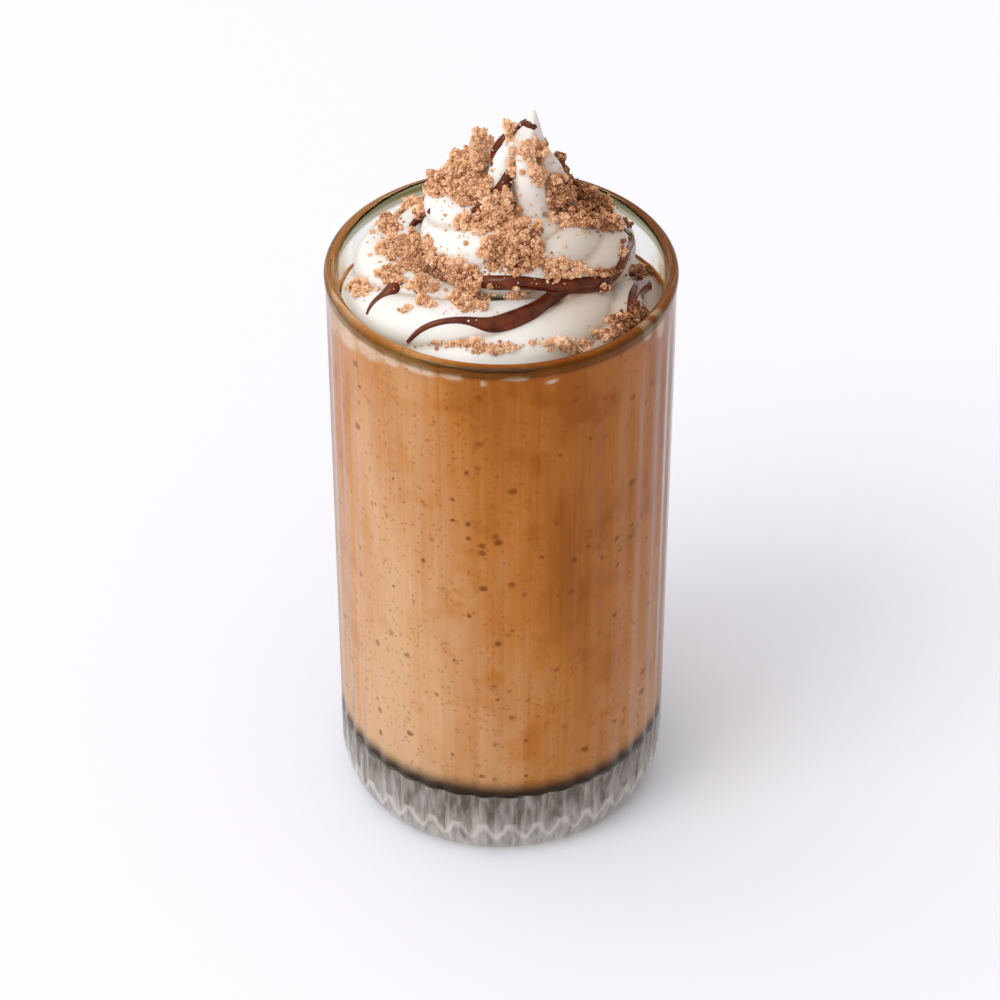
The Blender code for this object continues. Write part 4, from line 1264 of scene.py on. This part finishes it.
def note_powder(cream, heaps):
    """Note how much powder lies on the cream: 1 beside a heap, falling to 0 at its reach."""
    surface = surface_of(heaps)
    near = np.zeros(len(cream.data.vertices))
    for i, vertex in enumerate(cream.data.vertices):
        distance = surface.find_nearest(vertex.co, POWDER_REACH)[3]
        if distance is not None:
            near[i] = 1 - distance / POWDER_REACH
    note(cream, "near_crumbs", near)


def scatter(kind, grounds, draw):
    """Throw one kind of crumb on the heaps, and join them in one mesh."""
    name, sizes, subdivisions, roughness, density, strays, sunk = kind
    surface = surface_of(*grounds)
    shapes = [crumb_shape(subdivisions, roughness, draw) for _ in range(SHAPES_PER_KIND)]
    copies, tones_and_relief_shade = [], []
    for heap, from_back in heaps_of_crumbs():
        half_width, half_height = heap[2:]
        for _ in range(math.ceil(density * math.pi * half_width * half_height)):
            angle = draw.uniform(0.0, math.tau)
            spread = math.sqrt(draw.random()) * (1.0 if draw.random() > strays else STRAY_REACH)
            size = sizes[0] + (sizes[1] - sizes[0]) * draw.random() ** SMALL_ONES_MORE
            centre = land(surface, heap, from_back, angle, spread, size, sunk)
            if centre is None:
                continue
            turn = Matrix.Rotation(draw.uniform(0, math.tau), 3, any_way(draw))
            stretch = np.array([draw.uniform(*CRUMB_STRETCH) for _ in range(3)])
            places, faces, out = shapes[draw.randrange(len(shapes))]
            turned = (places * stretch * size) @ np.array(turn).T
            copies.append((turned + np.array(centre), faces))
            # Each crumb's tone differs at random, with painted shade in its hollows and painted light
            # on its bumps
            tones_and_relief_shade.append(np.clip(draw.uniform(*CRUMB_TONES) + CRUMB_RELIEF_SHADE * out, 0.0, 1.0))
    crumbs = mesh_of_copies(name, copies)
    finish_crumbs(crumbs, np.concatenate(tones_and_relief_shade))
    return crumbs


def baked_biscuit():
    """Crumbled oven-baked biscuit: dry, porous and golden, with painted shade in its pits and painted
    light on its bumps.
    """
    material, tree, output = new_material("baked biscuit crumb")
    tone = add_node(tree, "ShaderNodeAttribute", {"attribute_name": "tone"})
    coordinates = add_node(tree, "ShaderNodeTexCoord").outputs["Object"]
    # The crumbs behind the peak, on the right, have drunk up the sauce that ran among them, and are
    # darkened with painted shade
    behind = add_node(tree, "ShaderNodeVectorMath", {
        "operation": "DOT_PRODUCT", 1: (0.88, 0.47, 0.0)}, {0: coordinates})
    soaked_and_shaded = add_node(tree, "ShaderNodeMapRange", {
        "From Min": 8.5 * MM, "From Max": 15 * MM, "To Min": 0.0, "To Max": -0.36},
        {"Value": behind})
    # Painted shade on those in front, over the thickest of the sauce
    away = add_node(tree, "ShaderNodeVectorMath", {"operation": "DISTANCE", 1: SHADE_IN_FRONT_MIDDLE},
                    {0: coordinates})
    shade_in_front = add_node(tree, "ShaderNodeMapRange", {
        "From Min": 3 * MM, "From Max": 10 * MM, "To Min": -0.20, "To Max": 0.0}, {"Value": away})
    # Paler and browner patches about 5 mm across
    patches = add_node(tree, "ShaderNodeTexNoise", {"Scale": 190.0, "Detail": 2.0},
                       {"Vector": coordinates})
    patchy = add_node(tree, "ShaderNodeMath", {"operation": "MULTIPLY_ADD", 1: 0.9, 2: -0.38},
                      {0: patches})
    shade = tone.outputs["Fac"]
    for change in (soaked_and_shaded, shade_in_front, patchy):
        shade = add_node(tree, "ShaderNodeMath", {"operation": "ADD"}, {0: shade, 1: change})
    baked = add_node(tree, "ShaderNodeValToRGB", {"stops": [
        (0.10, linear("#7A3F1E")), (0.5, linear("#DAA477")), (0.95, linear("#F6D2B0"))]},
        {"Fac": shade})
    # Pores about 0.4 mm across
    pores = add_node(tree, "ShaderNodeTexNoise", {"Scale": 2000.0, "Detail": 3.0},
                     {"Vector": coordinates})
    bump = add_node(tree, "ShaderNodeBump", {"Strength": 0.6, "Distance": 0.15 * MM},
                    {"Height": pores})
    shader = add_node(tree, "ShaderNodeBsdfPrincipled", {"Roughness": 0.85, "IOR": 1.45},
                      {"Base Color": baked, "Normal": bump})
    tree.links.new(shader.outputs["BSDF"], output.inputs["Surface"])
    return material


def scatter_crumbs(cream, drizzle):
    baked_biscuit()
    draw = random.Random(CRUMB_SEED)
    heaps = make_heaps(cream, drizzle, draw)
    note_powder(cream, heaps)
    grounds = [cream, drizzle, heaps]
    for kind in CRUMB_KINDS:
        grounds.append(scatter(kind, grounds, draw))


# ---------------------------------------------------------------- floor, light and camera

# A round softbox hangs high on the left
KEY_PLACE = (-1.92, -1.41, 2.94)
KEY_AIM = (0.0, 0.0, 0.09)
KEY_SIZE = 1.9
KEY_POWER = 40.0


def make_floor():
    deselect()
    bpy.ops.mesh.primitive_plane_add(size=6.0, location=(0.0, 0.0, 0.0))
    floor = bpy.context.object
    floor.name = "floor"
    material, tree, output = new_material("matt white card")
    shader = add_node(tree, "ShaderNodeBsdfPrincipled", {
        "Base Color": linear("#F1F3FC"), "Roughness": 0.9, "Specular IOR Level": 0.1})
    tree.links.new(shader.outputs["BSDF"], output.inputs["Surface"])
    floor.data.materials.append(material)


def hang_softbox():
    light = bpy.data.lights.new("key softbox", "AREA")
    light.shape = "DISK"
    light.size = KEY_SIZE
    light.energy = KEY_POWER
    light.color = linear("#FFFDF8")[:3]
    lamp = bpy.data.objects.new("key softbox", light)
    bpy.context.scene.collection.objects.link(lamp)
    lamp.location = KEY_PLACE
    aim = Vector(KEY_AIM) - Vector(KEY_PLACE)
    lamp.rotation_euler = aim.to_track_quat("-Z", "Y").to_euler()


def light_the_room():
    """A wall of daylight on the left, and a dim room on the right."""
    world = bpy.data.worlds.new("white studio")
    bpy.context.scene.world = world
    world.use_nodes = True
    tree = world.node_tree
    background = tree.nodes["Background"]
    direction = add_node(tree, "ShaderNodeTexCoord").outputs["Generated"]
    toward_light = add_node(tree, "ShaderNodeVectorMath", {
        "operation": "DOT_PRODUCT", 1: (-0.85, -0.25, 0.46)}, {0: direction})
    daylight = add_node(tree, "ShaderNodeValToRGB", {
        "stops": [(0.0, (0.50, 0.47, 0.45, 1.0)), (0.9, (1.0, 1.0, 1.0, 1.0))]},
        {"Fac": toward_light})
    tree.links.new(daylight.outputs["Color"], background.inputs["Color"])
    background.inputs["Strength"].default_value = 1.30
    bpy.context.scene.view_settings.view_transform = "Standard"


def place_camera():
    camera = bpy.data.cameras.new("camera")
    camera.lens = CAMERA_LENS
    camera.sensor_width = 36.0
    camera.clip_start = 0.01
    camera.shift_x, camera.shift_y = CAMERA_SHIFT
    holder = bpy.data.objects.new("camera", camera)
    bpy.context.scene.collection.objects.link(holder)
    holder.location = (0.0, -CAMERA_DISTANCE * math.cos(CAMERA_PITCH),
                       CAMERA_TARGET_HEIGHT + CAMERA_DISTANCE * math.sin(CAMERA_PITCH))
    holder.rotation_euler = (math.pi / 2 - CAMERA_PITCH, 0.0, 0.0)
    bpy.context.scene.camera = holder


place_camera()
hang_softbox()
light_the_room()
make_floor()
make_tumbler()
make_drink()
CREAM = make_cream()
DRIZZLE = make_drizzle(CREAM)
scatter_crumbs(CREAM, DRIZZLE)
